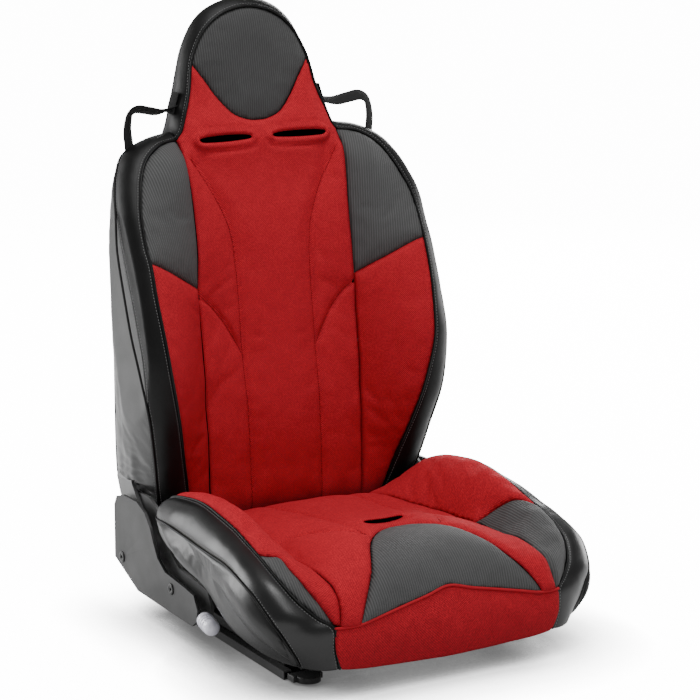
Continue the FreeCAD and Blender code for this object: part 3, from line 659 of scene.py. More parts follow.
def end_faces(count, rings, first=0):
    """The faces that close the first and the last ring."""
    last = first + (rings - 1) * count
    return [tuple(range(first, first + count))[::-1], tuple(range(last, last + count))]


def tube(name, line, radius, body, finish, sides=8):
    """Piping: a round bead along a line."""
    pts = np.asarray(line, float)
    count = len(pts)
    ahead = np.gradient(pts, axis=0)
    ahead /= np.maximum(np.linalg.norm(ahead, axis=1), 1e-9)[:, None]
    up = np.array([0.31, 0.17, 0.93])
    verts = []
    for i in range(count):
        side = np.cross(ahead[i], up)
        side /= max(np.linalg.norm(side), 1e-9)
        up = np.cross(side, ahead[i])
        for k in range(sides):
            a = math.tau * k / sides
            verts.append(pts[i] + radius * (math.cos(a) * side + math.sin(a) * up))
    faces = ring_faces(sides, count) + end_faces(sides, count)
    piece = make_object(name, verts, faces, None, finish)
    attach(piece, body)
    return piece


def piping(name, rail, body, finish="black_vinyl", radius=PIPING_RADIUS):
    """A sewn bead of piping along a rail."""
    tube(name, even_line(rail, GRID), radius, body, finish)


def strap(name, route, width, thickness, body, turns=(0, 0)):
    """A flat woven strap along a route, its width lying fore and aft and turned a little where asked."""
    pts = even_line(route, 4.0)
    ahead = np.gradient(pts, axis=0)
    ahead /= np.linalg.norm(ahead, axis=1)[:, None]
    turns = np.interp(np.linspace(0, 1, len(pts)), np.linspace(0, 1, len(turns)), turns)
    half_w, half_t = width / 2, thickness / 2
    ring = [(-half_w, 0), (-half_w + half_t, -half_t), (half_w - half_t, -half_t), (half_w, 0),
            (half_w - half_t, half_t), (-half_w + half_t, half_t)]
    verts, uv, length = [], [], 0.0
    for i, (place, run) in enumerate(zip(pts, ahead)):
        length += np.linalg.norm(place - pts[max(i - 1, 0)])
        wide = np.array([0.0, 1.0, 0.0]) - run * run[1]
        wide /= np.linalg.norm(wide)
        thick = np.cross(run, wide)
        c, d = math.cos(math.radians(turns[i])), math.sin(math.radians(turns[i]))
        wide, thick = c * wide + d * thick, c * thick - d * wide
        for w, t in ring:
            verts.append(place + wide * w + thick * t)
            uv.append((w, length))
    faces = ring_faces(len(ring), len(pts)) + end_faces(len(ring), len(pts))
    piece = make_object(name, verts, faces, uv, "webbing")
    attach(piece, body)
    return piece


def stitches(name, line, on, body, finish="thread", length=3.4, gap=1.8, radius=0.42):
    """A row of sewn stitches: short thread beads lying on a cover."""
    verts, faces = [], []
    run = even_line(line, length + gap)
    for start, end in zip(run, run[1:]):
        place, up, _, _ = SURFACES[on].find_nearest(tuple(start))
        up = np.asarray(up)
        ahead = (end - start) / max(np.linalg.norm(end - start), 1e-9)
        side = np.cross(ahead, up)
        side /= max(np.linalg.norm(side), 1e-9)
        base = len(verts)
        for step, size in ((0.0, 0.35), (0.2, 1.0), (0.8, 1.0), (1.0, 0.35)):
            centre = np.asarray(place) + ahead * length * step + up * (0.45 * size - 0.25)
            for k in range(6):
                a = math.tau * k / 6
                verts.append(centre + radius * size * (math.cos(a) * side + math.sin(a) * up))
        faces += ring_faces(6, 4, base) + end_faces(6, 4, base)
    piece = make_object(name, verts, faces, None, finish)
    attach(piece, body)
    return piece


def row_at(name, distance, far=False):
    """The line on a band that runs at a distance from its first seam, or from its last."""
    rows = GRIDS[name][:, ::-1] if far else GRIDS[name]
    line = []
    for row in rows:
        reach = np.concatenate([[0], np.cumsum(np.linalg.norm(np.diff(row, axis=0), axis=1))])
        line.append([np.interp(distance, reach, row[:, k]) for k in range(3)])
    return line


def edge_stitches(name, band, body, far=False):
    """A row of stitches just inside a band's first seam, or its last."""
    stitches(name, row_at(band, ROW_INSET, far), band, body)


# ---- the back: fitting points and seams -------------------------------------------
# Rows of (x, y, z) across the left half of the back's face, from the middle to the front welt.
BACK_FACE = (
    ((0, 224, 128), (74, 222, 128), (148, 216, 130), (180, 212, 132)),
    ((0, 206, 152), (74, 206, 152), (148, 204, 152), (172, 202, 152), (190, 200, 152)),
    ((0, 203, 203), (74, 203, 203), (148, 201, 203), (176, 190, 203), (199, 184, 203)),
    ((0, 206, 268), (72, 206, 268), (148, 203, 268), (186, 182, 268), (216, 161, 268)),
    ((0, 215, 346), (71, 214, 346), (149, 211, 346), (196, 172, 346), (235, 137, 346)),
    ((0, 230, 428), (72, 231, 428), (149, 218, 428), (206, 170, 428), (252, 129, 428)),
    ((0, 239, 483), (72, 238, 483), (149, 226, 483), (209, 176, 483), (258, 138, 483)),
    ((0, 248, 548), (72, 247, 548), (150, 233, 548), (211, 190, 548), (262, 159, 548)),
    ((0, 256, 600), (75, 254, 600), (148, 237, 600), (210, 206, 600), (262, 179, 600)),
    ((0, 273, 676), (88, 268, 676), (147, 250, 676), (208, 230, 676), (260, 219, 676)),
    ((0, 288, 735), (110, 284, 735), (149, 264, 735), (200, 248, 735), (241, 258, 735)),
    ((0, 292, 764), (120, 288, 764), (152, 277, 764), (190, 268, 764), (220, 278, 764)),
    ((0, 289, 786), (70, 288, 786), (120, 286, 786), (155, 304, 788), (190, 294, 783)),
    ((0, 302, 815), (70, 300, 815), (120, 302, 815), (137, 307, 817)),
    ((0, 312, 850), (60, 312, 850), (105, 314, 850), (126, 316, 850)),
    ((0, 326, 911), (60, 326, 911), (112, 329, 911)),
    ((0, 333, 950), (50, 333, 950), (93, 336, 952)),
    ((0, 338, 985), (40, 339, 985), (62, 340, 985)),
    ((0, 343, 1003), (34, 342, 998)),
)
WING_SEAM = ((148, 132), (148, 203), (148, 268), (149, 346), (149, 428), (149, 483), (150, 543), (148, 600),
             (147, 660), (149, 718), (151, 751), (155, 788))
FRONT_WELT = ((183, 211, 134), (199, 184, 203), (216, 161, 268), (235, 137, 346), (252, 129, 428),
              (258, 138, 483), (262, 159, 548), (262, 179, 600), (263, 196, 630), (260, 219, 676),
              (252, 237, 706), (241, 258, 735), (222, 277, 763), (190, 293, 783), (155, 304, 788))
SIDE_WELT = ((234, 212, 142), (254, 188, 208), (267, 170, 273), (283, 153, 349), (296, 162, 431),
             (300, 183, 489), (299, 210, 552), (297, 232, 600), (294, 246, 630), (288, 261, 677),
             (281, 280, 708), (268, 302, 737), (246, 324, 765), (206, 338, 783), (157, 342, 792))
REAR_EDGE = ((246, 342, 168), (253, 349, 208), (255, 350, 273), (255, 350, 349), (255, 350, 431),
             (255, 350, 489), (255, 350, 552), (254, 350, 600), (252, 351, 640), (249, 352, 677),
             (243, 354, 706), (232, 357, 735), (213, 361, 758), (180, 366, 774), (150, 370, 785))
HEAD_WELT = ((155, 304, 788), (144, 304, 803), (134, 309, 830), (122, 318, 864), (112, 329, 911),
             (100, 334, 940), (84, 337, 966), (61, 339, 986), (33, 341, 999), (0, 342, 1004))
HEAD_MID = ((154, 337, 790), (146, 340, 806), (138, 344, 834), (128, 350, 868), (117, 360, 915),
            (105, 364, 945), (88, 366, 973), (64, 367, 995), (34, 367, 1008), (0, 367, 1012))
HEAD_REAR = ((150, 370, 785), (141, 374, 803), (132, 378, 830), (121, 384, 864), (108, 389, 911),
             (96, 391, 940), (80, 391, 963), (58, 391, 983), (31, 390, 996), (0, 390, 1001))
SHIELD_U = ((112, 911), (92, 884), (71, 853), (46, 826), (20, 815), (0, 813))
WING_COLOUR = ((150, 543), (180, 562), (215, 583), (246, 600), (262.5, 606))
CHANNEL = ((139, 757), (109, 707), (86, 659), (75, 617), (71, 549), (71, 426), (70, 346), (69, 220),
           (68, 153))
INNER_CHANNEL = ((150, 530), (128, 512), (104, 482), (86, 452), (72, 425))
SLOT_CENTRE_Z, SLOT_HALF_X, SLOT_HALF_Z, SLOT_MID_X = 786.0, 50.0, 5.0, 70.0


def rows_pattern(rows):
    """Fitting points whose pattern is simply their front view."""
    places = [p for row in rows for p in row]
    return [(x, z) for x, y, z in places], places


def slot_outline(side, grow=0.0):
    """A belt slot's rounded outline in the front view."""
    half_x, half_z = SLOT_HALF_X + grow, SLOT_HALF_Z + grow
    points = []
    for k in range(36):
        c, d = math.cos(math.tau * k / 36), math.sin(math.tau * k / 36)
        points.append((side * SLOT_MID_X + half_x * math.copysign(abs(c) ** 0.8, c),
                       SLOT_CENTRE_Z + half_z * math.copysign(abs(d) ** 0.9, d)))
    return points


def front_view(points):
    return [(x, z) for x, y, z in points]


FACE = Skin(*with_mirror(*rows_pattern(BACK_FACE)))
FORWARD = (0, -1, 0)


def joined(*runs):
    """Runs of points joined end to end, without doubling the shared ends."""
    points = list(runs[0])
    for run in runs[1:]:
        points += list(run)[1:]
    return points


def make_back_face():
    seam_left, seam_right = list(WING_SEAM), mirrored(WING_SEAM)
    head_left = front_view(HEAD_WELT[:5])
    u_left = list(SHIELD_U)
    middle = joined(seam_left, head_left, u_left, mirrored(u_left)[::-1], mirrored(head_left)[::-1],
                    seam_right[::-1])
    channels = [CHANNEL, mirrored(CHANNEL), INNER_CHANNEL, mirrored(INNER_CHANNEL)]
    insert = cover("back_insert_cover", FACE, straight_closed(middle), "backrest", "red_tweed", FORWARD,
                   holes=[slot_outline(1), slot_outline(-1)], channels=channels, lips=4.5, seed=2)
    for i, line in enumerate(channels):
        stitches("back_insert_stitching_%d" % i, FACE.at(even_line(line, 4.0)), "back_insert_cover",
                 "backrest", "red_thread", gap=1.0, radius=0.6)
    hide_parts("back_insert_pad", "shoulder_yoke")
    top = front_view(HEAD_WELT[4:])
    shield = joined(u_left[::-1], top, mirrored(top)[::-1], mirrored(u_left))
    head = cover("head_shield_cover", FACE, straight_closed(shield), "backrest", "head_rib", FORWARD, seed=5,
                 fullness=5.0)
    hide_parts("head_pad")
    for side, s in SIDES.items():
        split = WING_COLOUR
        upper = joined(split, [(262.5, 630)] + front_view(FRONT_WELT[9:]),
                       [p for p in WING_SEAM[::-1] if p[1] >= 543])
        lower = joined([p for p in WING_SEAM if p[1] <= 543], split,
                       [(262, 600)] + front_view(FRONT_WELT[:7])[::-1])
        grey_wing = cover("back_wing_upper_" + side, FACE, straight_closed(flip(upper, s)), "backrest",
                          "grey_rib", FORWARD, seed=7 + s, fullness=5.0)
        red_wing = cover("back_wing_lower_" + side, FACE, straight_closed(flip(lower, s)), "backrest",
                         "red_tweed", FORWARD, seed=9 + s, fullness=5.0)
        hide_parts("back_wing_" + side)
        behind = FACE.at(even_line(flip(WING_SEAM, s), GRID)) + (0, 8, 0)
        shaded_seam_tape("wing_seam_tape_" + side, behind, "backrest")


def shaded_seam_tape(name, line, body):
    """The allowance behind a seam, which closes the gap between two covers; it is near-black, as painted shade
    where the gap shows.
    """
    tube(name, line, 3.2, body, "shade_black_lining")


def straight_closed(points):
    """Drops doubled points so that an outline can be closed."""
    kept = [points[0]]
    for point in points[1:]:
        if math.dist(point, kept[-1]) > 0.5:
            kept.append(point)
    if math.dist(kept[0], kept[-1]) < 0.5:
        kept.pop()
    return kept


make_back_face()


# ---- the back: side bands, head band, rear and bottom -------------------------------
REAR_FACE = (
    ((0, 352, 172), (125, 352, 172), (246, 344, 172)),
    ((0, 356, 208), (125, 356, 208), (253, 349, 208)),
    ((0, 360, 273), (125, 359, 273), (255, 350, 273)),
    ((0, 362, 380), (125, 361, 380), (255, 350, 380)),
    ((0, 362, 489), (125, 361, 489), (255, 350, 489)),
    ((0, 363, 600), (125, 362, 600), (254, 350, 600)),
    ((0, 366, 677), (125, 364, 677), (249, 352, 677)),
    ((0, 372, 735), (120, 369, 735), (232, 357, 735)),
    ((0, 377, 765), (100, 374, 765), (200, 363, 766)),
    ((0, 380, 785), (75, 378, 785), (150, 370, 785)),
    ((0, 386, 815), (70, 384, 815), (137, 376, 815)),
    ((0, 394, 864), (60, 392, 864), (121, 384, 864)),
    ((0, 397, 911), (55, 396, 911), (108, 389, 911)),
    ((0, 396, 963), (40, 395, 963), (80, 391, 963)),
    ((0, 391, 998), (31, 390, 996)),
)
REAR = Skin(*with_mirror(*rows_pattern(REAR_FACE)))
REARWARD = (0, 1, 0)
REAR_SPLIT_Z = 700.0
PIVOT_YZ = (240.0, 152.0)
PLATE_CLEAR_X = 256.0


def rear_band_bulge(places):
    """Full and rounded over the recliner arm, tighter higher up."""
    return np.interp(places[:, 2], (160, 200, 222, 400, 640, 780), (0, 1, 17, 15, 9, 3))


def clear_of_plates(places):
    """Keeps the cover inboard of the recliner plates wherever reclining would carry it down between them."""
    from_pivot = np.hypot(places[:, 1] - PIVOT_YZ[0], places[:, 2] - PIVOT_YZ[1])
    allowed = PLATE_CLEAR_X + np.interp(from_pivot, (63.0, 78.0), (0.0, 30.0))
    return np.column_stack([np.clip(places[:, 0], -allowed, allowed), places[:, 1:]])


def back_creases(s, t):
    """Gathers above the recliner plate, and soft lengthwise drag lines up the side."""
    low = np.exp(-((s - 0.085) / 0.05) ** 2)
    gathers = 1.6 * low * np.sin(s * 420 + 3.0 * t) * np.sin(math.pi * t) ** 0.5
    drag = 2.6 * np.exp(-((t - 0.30 - 0.10 * np.sin(5 * s)) / 0.07) ** 2)
    drag -= 2.0 * np.exp(-((t - 0.52 - 0.08 * np.sin(4 * s + 1)) / 0.08) ** 2)
    return gathers + drag * np.clip(1.2 - s, 0, 1)


def around(rail):
    """A head rail carried over the top to the other side."""
    return joined(rail, mirrored(rail)[::-1])


def make_back_sides():
    for side, s in SIDES.items():
        out = (s, -0.2, 0.05)
        front = patch("back_band_front_" + side, [flip(FRONT_WELT, s), flip(SIDE_WELT, s)], "backrest",
                      "black_vinyl", out, 150, 18, bulge=9.0, seed=21 + s, limit=clear_of_plates)
        # the rear bands use the glossier vinyl copy whose base colour is painted lighter
        rear = patch("back_band_rear_" + side, [flip(SIDE_WELT, s), flip(REAR_EDGE, s)], "backrest",
                     "gloss_vinyl_painted_lighter", out, 190, 40, bulge=rear_band_bulge, seed=25 + s, folds=back_creases,
                     slack=0.001, limit=clear_of_plates)
        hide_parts("back_gusset_" + side)
        for label, rail in (("front", FRONT_WELT), ("side", SIDE_WELT), ("rear", REAR_EDGE)):
            piping("back_piping_%s_%s" % (label, side), flip(rail, s), "backrest")
        edge_stitches("back_stitching_front_" + side, "back_band_front_" + side, "backrest")
        edge_stitches("back_stitching_side_" + side, "back_band_front_" + side, "backrest", far=True)
        edge_stitches("back_stitching_rear_" + side, "back_band_rear_" + side, "backrest")
        slot_tunnel("belt_slot_tunnel_" + side, s)
    band = patch("head_band", [around(HEAD_WELT), around(HEAD_MID), around(HEAD_REAR)], "backrest",
                 "black_vinyl", (0, 0, 1), 190, 20, bulge=5.0, seed=31)
    for label, rail in (("front", HEAD_WELT), ("rear", HEAD_REAR)):
        piping("head_piping_" + label, around(rail), "backrest")
    edge_stitches("head_stitching", "head_band", "backrest")
    edge = front_view(REAR_EDGE)
    low_side = [p for p in edge if p[1] < REAR_SPLIT_Z] + [(244, REAR_SPLIT_Z)]
    lower = low_side + mirrored(low_side)[::-1]
    seams = [[(s * 160, 174), (s * 160, 400), (s * 150, 560), (s * 120, REAR_SPLIT_Z)]
             for s in SIDES.values()]
    seams.append([(-250, 262), (0, 256), (250, 262)])
    rear = cover("rear_panel_lower", REAR, straight_closed(lower), "backrest", "black_vinyl", REARWARD,
                 channels=seams, seed=33, spacing=7.0)
    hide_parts("rear_cover")
    high_side = [(244, REAR_SPLIT_Z)] + [p for p in edge if p[1] > REAR_SPLIT_Z + 3]
    head_side = front_view(HEAD_REAR[1:])
    upper = joined(high_side, [high_side[-1]] + head_side)
    upper = upper + mirrored(upper)[::-1]
    top = cover("rear_panel_upper", REAR, straight_closed(upper), "backrest", "black_vinyl", REARWARD,
                holes=[slot_outline(1), slot_outline(-1)], lips=3.0, seed=35, spacing=7.0,
                channels=[[(-128, 838), (0, 832), (128, 838)]])
    for shift in (-6.0, 6.0):
        line = REAR.at([(x, REAR_SPLIT_Z + shift) for x in range(-236, 240, 12)])
        on = "rear_panel_lower" if shift < 0 else "rear_panel_upper"
        stitches("rear_stitching_%s" % ("low" if shift < 0 else "high"), line, on, "backrest")
    half_front = [(234, 212, 142), (183, 211, 134), (148, 216, 133), (74, 221, 133), (0, 223, 133)]
    half_rear = [(246, 342, 168), (190, 350, 171), (148, 351, 172), (74, 352, 172), (0, 352, 172)]
    base = patch("back_underside", [around(half_front), around(half_rear)], "backrest", "black_vinyl",
                 (0, 0, -1), 90, 24, bulge=4.0, seed=37)


def slot_tunnel(name, side):
    """The lined tunnel that a shoulder belt runs through, front to rear."""
    outline = slot_outline(side, 1.2)
    front = FACE.at(outline)[:, 1] + 1.0
    rear = REAR.at(outline)[:, 1] - 1.0
    rings = 8
    verts = []
    for ring in range(rings):
        t = ring / (rings - 1)
        for (x, z), y0, y1 in zip(outline, front, rear):
            verts.append((x, y0 + (y1 - y0) * t, z))
    # near-black lining without shine: painted shade inside the belt slot
    piece = make_object(name, verts, ring_faces(len(outline), rings), None, "shade_black_lining")
    thicken(piece, 1.2)
    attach(piece, "backrest")
    return piece


make_back_sides()


# ---- the cushion ------------------------------------------------------------------------
# Rows of (x, y, z) from the middle out to the bolster's welt, rear to front.
TOP_ROWS = (
    ((0, 182, 160), (70, 181, 160), (139, 178, 158), (185, 172, 172), (225, 165, 190), (246, 160, 196)),
    ((0, 120, 170), (71, 120, 171), (144, 120, 172), (190, 118, 196), (232, 115, 222), (262, 110, 226)),
    ((0, 50, 178), (77, 50, 178), (155, 50, 174), (195, 50, 208), (235, 50, 240), (262, 50, 238)),
    ((0, -7, 184), (82, -7, 184), (166, -7, 175), (203, -7, 212), (240, -7, 246), (262, -7, 242)),
    ((0, -60, 190), (86, -60, 190), (174, -60, 176), (209, -60, 212), (242, -62, 246), (262, -64, 236)),
    ((0, -100, 197), (90, -100, 197), (180, -100, 177), (212, -101, 209), (242, -104, 239), (262, -107, 229)),
    ((0, -150, 206), (92, -150, 205), (183, -150, 178), (214, -153, 203), (241, -157, 225), (262, -160, 215)),
    ((0, -205, 210), (94, -205, 207), (185, -205, 180), (214, -210, 196), (240, -216, 209), (261, -222, 199)),
    ((0, -262, 205), (94, -264, 203), (188, -262, 181), (213, -267, 184), (237, -272, 186), (257, -272, 177)),
    ((0, -295, 190), (93, -299, 190), (189, -293, 176), (211, -294, 173), (233, -294, 168), (248, -295, 158)),
    ((0, -316, 174), (92, -323, 168), (192, -318, 165), (208, -317, 158), (222, -316, 148), (232, -313, 140)),
    ((0, -331, 155), (94, -338, 139), (198, -339, 121), (200, -337, 120), (202, -335, 119.5),
     (204, -333, 119)),
)
TOP = Skin(*with_mirror(*grow_columns(TOP_ROWS)))
UPWARD = (0, -0.3, 1)
SEAT_SEAM = ((139, 178, 158), (140, 151, 166), (155, 54, 174), (171, -32, 177), (180, -98, 177),
             (183, -151, 178), (184, -199, 179), (188, -252, 181), (188, -288, 177), (191, -315, 167),
             (195, -335, 149), (198, -339, 121))
SHIELD_EDGE = ((166, -345, 122), (148, -337, 157), (125, -307, 188), (84, -232, 208), (50, -192, 210),
               (20, -170, 208), (0, -165, 208))
BOLSTER_WELT = ((246, 160, 196), (262, 110, 226), (262, 50, 238), (262, -7, 242), (262, -68, 235),
                (262, -117, 227), (262, -157, 216), (262, -196, 205), (260, -261, 181), (246, -298, 155),
                (223, -320, 132), (204, -333, 119))
# The sewn line between red and ribbed cloth on each bolster, from its outer end to the insert's seam.
SPLIT = {"left": ((262, -190, 205), (236, -160, 216), (212, -138, 204), (182, -116, 177)),
         "right": ((262, -190, 205), (252, -207, 207), (237, -222, 207), (235, -250, 196), (230, -285, 176),
                   (220, -315, 152), (207, -330, 125))}
FRONT_SEAM = ((0, -331, 155), (42, -335, 146), (84, -339, 138), (125, -343, 130), (166, -345, 122),
              (198, -339, 120))
SEAT_CHANNELS = {
    "left": (((75, 181, 161), (100, 141, 166), (98, 59, 174), (86, -40, 186), (82, -68, 190), (88, -110, 198),
              (94, -150, 204)),
             ((174, -70, 176), (135, -62, 184), (105, -92, 193), (94, -135, 202), (72, -190, 208))),
    "right": (((70, 181, 161), (62, 156, 165), (60, 89, 174), (52, 30, 180), (54, -58, 190), (65, -149, 205),
               (68, -195, 209)),
              ((174, -70, 176), (140, -62, 183), (112, -75, 190), (94, -120, 200), (68, -195, 209))),
}
CROTCH_Y, CROTCH_HALF = -130.0, 38.0


def laid(points, s=1):
    """Pattern positions of a smooth line given by fitting points."""
    return TOP.locate(even_line(flip(points, s), GRID))


def crotch_outline():
    places = []
    for k in range(30):
        a = math.tau * k / 30
        x = CROTCH_HALF * math.copysign(abs(math.cos(a)) ** 0.8, math.cos(a))
        places.append((x, CROTCH_Y + 4.4 * math.sin(a), 202.0))
    return TOP.locate(places)


def chain(*runs):
    """Runs of pattern positions joined into one closed outline."""
    return straight_closed([tuple(p) for run in runs for p in run])


def crotch_lips(places):
    """The slot's rear lip stands a little higher than its front lip."""
    gap = places[:, 1] - CROTCH_Y
    near = np.clip((CROTCH_HALF + 16 - np.abs(places[:, 0])) / 16, 0, 1)
    return near * (6.0 * np.exp(-((gap - 9) / 9) ** 2) - 4.0 * np.exp(-((gap + 9) / 9) ** 2))


def make_cushion_top():
    rear = laid([(139, 178, 158), (70, 181, 160), (0, 182, 160)])
    outline = chain(laid(SEAT_SEAM), laid([(198, -339, 121), (182, -343, 121), (166, -345, 122)]),
                    laid(SHIELD_EDGE), laid(SHIELD_EDGE, -1)[::-1],
                    laid([(166, -345, 122), (182, -343, 121), (198, -339, 121)], -1),
                    laid(SEAT_SEAM, -1)[::-1], rear * (-1, 1), rear[::-1])
    channels = [laid(line, s) for side, s in SIDES.items() for line in SEAT_CHANNELS[side]]
    insert = cover("seat_insert_cover", TOP, outline, "seat", "red_tweed", UPWARD, holes=[crotch_outline()],
                   channels=channels, seed=41, flat_cloth=False, extra=crotch_lips)
    for i, line in enumerate(channels):
        stitches("seat_insert_stitching_%d" % i, TOP.at(line), "seat_insert_cover", "seat", "red_thread",
                 gap=1.0, radius=0.6)
    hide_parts("seat_insert_pad")
    seam = list(FRONT_SEAM[:5])
    shield_line = chain(laid(SHIELD_EDGE), laid(SHIELD_EDGE, -1)[::-1], laid(seam, -1)[::-1], laid(seam))
    shield = cover("seat_shield_cover", TOP, shield_line, "seat", "grey_rib", UPWARD, fullness=5.0, seed=43,
                   flat_cloth=False)
    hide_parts("seat_nose_pad")
    for side, s in SIDES.items():
        split = list(SPLIT[side])
        outer_rear = [p for p in BOLSTER_WELT if p[1] > -190] + [split[0]]
        outer_front = [split[0]] + [p for p in BOLSTER_WELT if p[1] < -200]
        rear_edge = [(246, 160, 196), (225, 165, 190), (185, 172, 172), (139, 178, 158)]
        if side == "left":
            seam_rear = [p for p in SEAT_SEAM if p[1] > -110] + [split[-1]]
            seam_front = [split[-1]] + [p for p in SEAT_SEAM if p[1] < -120]
            red = chain(laid(outer_rear, s), laid(split, s), laid(seam_rear, s)[::-1],
                        laid(rear_edge, s)[::-1])
            grey_line = chain(laid(split, s)[::-1], laid(outer_front, s),
                              laid([(204, -333, 119), (198, -339, 121)], s), laid(seam_front, s)[::-1])
        else:
            red = chain(laid(outer_rear, s), laid(split, s),
                        laid([(207, -330, 125), (198, -339, 121)], s), laid(SEAT_SEAM, s)[::-1],
                        laid(rear_edge, s)[::-1])
            grey_line = chain(laid(split, s)[::-1], laid(outer_front, s)[:-2])
        bolster = cover("seat_bolster_rear_" + side, TOP, red, "seat", "red_tweed", UPWARD, seed=45 + s,
                        fullness=5.0, flat_cloth=False)
        front = cover("seat_bolster_front_" + side, TOP, grey_line, "seat", "grey_rib", UPWARD, seed=48 + s,
                      flat_cloth=False)
        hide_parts("seat_bolster_" + side)
        for label, line in (("bolster", SEAT_SEAM), ("shield", SHIELD_EDGE), ("split", split)):
            under = TOP.at(laid(line, s)) - (0, 0, 9)
            shaded_seam_tape("seat_%s_tape_%s" % (label, side), under[under[:, 1] > -305], "seat")


WELT_DOWN = BOLSTER_WELT + ((202, -334, 85), (195, -332, 52))
SIDE_SEAM = ((258, 150, 186), (292, 112, 193), (304, 50, 200), (304, -7, 197), (304, -66, 193),
             (303, -115, 190), (302, -157, 187), (304, -200, 180), (304, -250, 165), (293, -290, 132),
             (280, -299, 110), (267, -304, 87), (256, -303, 70), (248, -301, 56))
PANEL_MID = ((257, 145, 168), (288, 108, 168), (302, 50, 165), (304, -7, 160), (304, -66, 155),
             (305, -115, 152), (305, -157, 150), (307, -200, 145), (306, -250, 132), (291, -292, 112),
             (276, -300, 98), (262, -304, 78), (252, -303, 64), (245, -300, 54))
PANEL_LOW = ((254, 140, 146), (257, 100, 134), (264, 46, 124), (264, -9, 119), (266, -66, 117),
             (284, -115, 104), (292, -157, 98), (294, -200, 92), (290, -248, 84), (274, -290, 78),
             (262, -298, 72), (252, -300, 63), (245, -299, 56), (240, -297, 52))
PANEL_HEM = ((250, 134, 92), (248, 96, 88), (250, 44, 85), (250, -10, 78), (252, -66, 64), (252, -115, 56),
             (252, -157, 52), (250, -200, 50), (248, -245, 50), (244, -280, 49), (240, -290, 49),
             (236, -295, 49), (233, -297, 49), (230, -298, 49))


def side_folds(s, t):
    """Two slack folds that run down and forward across the side panel, sharp below and soft above."""
    height = 0.0
    for start, slope, size in ((0.08, 1.75, 8.0), (0.36, 1.55, 6.5)):
        below = t - slope * (s - start)
        height = height + size * np.interp(below, (-0.46, -0.24, -0.08, 0.02, 0.09, 0.20, 0.44),
                                           (0.0, 0.42, 0.92, 1.0, 0.55, -0.42, 0.0))
    rise = np.clip((s - 0.04) / 0.16, 0, 1)
    return height * rise * rise * (3 - 2 * rise) * np.clip(5 * (1 - s), 0, 1)


def make_cushion_sides():
    for side, s in SIDES.items():
        out = (s, -0.3, 0.1)
        # the cushion's bands and side panels use the glossier vinyl copy whose base colour is painted lighter
        band = patch("seat_band_" + side, [flip(WELT_DOWN, s), flip(SIDE_SEAM, s)], "seat", "gloss_vinyl_painted_lighter",
                     (s, -0.2, 0.7), 150, 20, bulge=9.0, seed=51 + s)
        panel = patch("seat_side_" + side, [flip(r, s) for r in (SIDE_SEAM, PANEL_MID, PANEL_LOW, PANEL_HEM)],
                      "seat", "gloss_vinyl_painted_lighter", out, 170, 44, seed=55 + s, folds=side_folds, slack=0.001,
                      crumple=0.4)
        for label, rail in (("welt", WELT_DOWN), ("side", SIDE_SEAM)):
            piping("seat_piping_%s_%s" % (label, side), flip(rail, s), "seat")
        edge_stitches("seat_stitching_welt_" + side, "seat_band_" + side, "seat")
        edge_stitches("seat_stitching_side_" + side, "seat_band_" + side, "seat", far=True)
    top = [(204, -333, 119), (198, -339, 120)] + list(FRONT_SEAM[::-1][1:])
    middle = [(202, -334, 85), (196, -340, 86), (164, -345, 88), (125, -345, 92), (84, -343, 94),
              (42, -341, 96), (0, -340, 98)]
    low = [(195, -332, 54), (189, -334, 50), (160, -336, 47), (122, -336, 45), (82, -336, 43), (41, -336, 42),
           (0, -336, 41)]
    apron = patch("seat_apron", [around(top), around(middle), around(low)], "seat", "red_tweed", (0, -1, 0),
                  100, 26, bulge=2.0, seed=59, slack=0.006)
    piping("seat_piping_front", around(top), "seat", "red_tweed", 2.3)
    rear_top = [(258, 150, 186), (246, 160, 196), (225, 165, 190), (185, 172, 172), (139, 178, 158),
                (70, 181, 160), (0, 182, 160)]
    rear_low = [(250, 134, 92), (244, 148, 90), (225, 160, 89), (185, 168, 88), (139, 172, 88), (70, 174, 88),
                (0, 174, 88)]
    rear = patch("seat_rear", [around(rear_top), around(rear_low)], "seat", "black_vinyl", (0, 1, 0), 100, 16,
                 bulge=3.0, seed=61)
    edge = [(250, 132, 88), (248, 60, 88), (248, -20, 88), (249, -100, 88), (249, -200, 88), (246, -280, 88),
            (225, -322, 88)]
    inner = [(0, 172, 88), (0, 60, 88), (0, -20, 88), (0, -100, 88), (0, -200, 88), (0, -280, 88),
             (0, -330, 88)]
    # near-black lining without shine: painted shade under the seat
    patch("seat_underside", [edge, inner, mirrored(edge)], "seat", "shade_black_lining", (0, 0, -1), 60, 60, seed=63)


make_cushion_top()
make_cushion_sides()


# ---- belt guides ---------------------------------------------------------------------
def make_guides():
    for side, s in SIDES.items():
        route = [(120, 345, 846), (146, 341, 836), (170, 337, 832), (195, 332, 837), (216, 329, 840),
                 (229, 327, 831), (234, 326, 806), (232, 325, 780), (229, 326, 754), (222, 328, 738)]
        loop = strap("belt_guide_strap_" + side, flip(route, s), 27.0, 2.2, "backrest",
                     turns=[0, 20, 30, 34, 48, 56, 58, 50])
        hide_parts("belt_guide_loop_" + side)
        line = []
        for z in (828, 838, 848, 858, 868):
            place, up, _, _ = SURFACES["head_band"].find_nearest((s * 150.0, 343.0, z))
            line.append(place + up * 1.6)
        strap("belt_guide_end_" + side, line, 28.0, 2.0, "backrest")


make_guides()


# A washer's section: distance from the middle of the seat, and radius.
WASHER_SECTION = ((287.0, 4.6), (288.8, 4.9), (289.2, 6.2), (288.6, 9.2), (287.0, 10.2))
PLATE_SCREWS = ((263.0, 86.0), (71.0, 82.0))


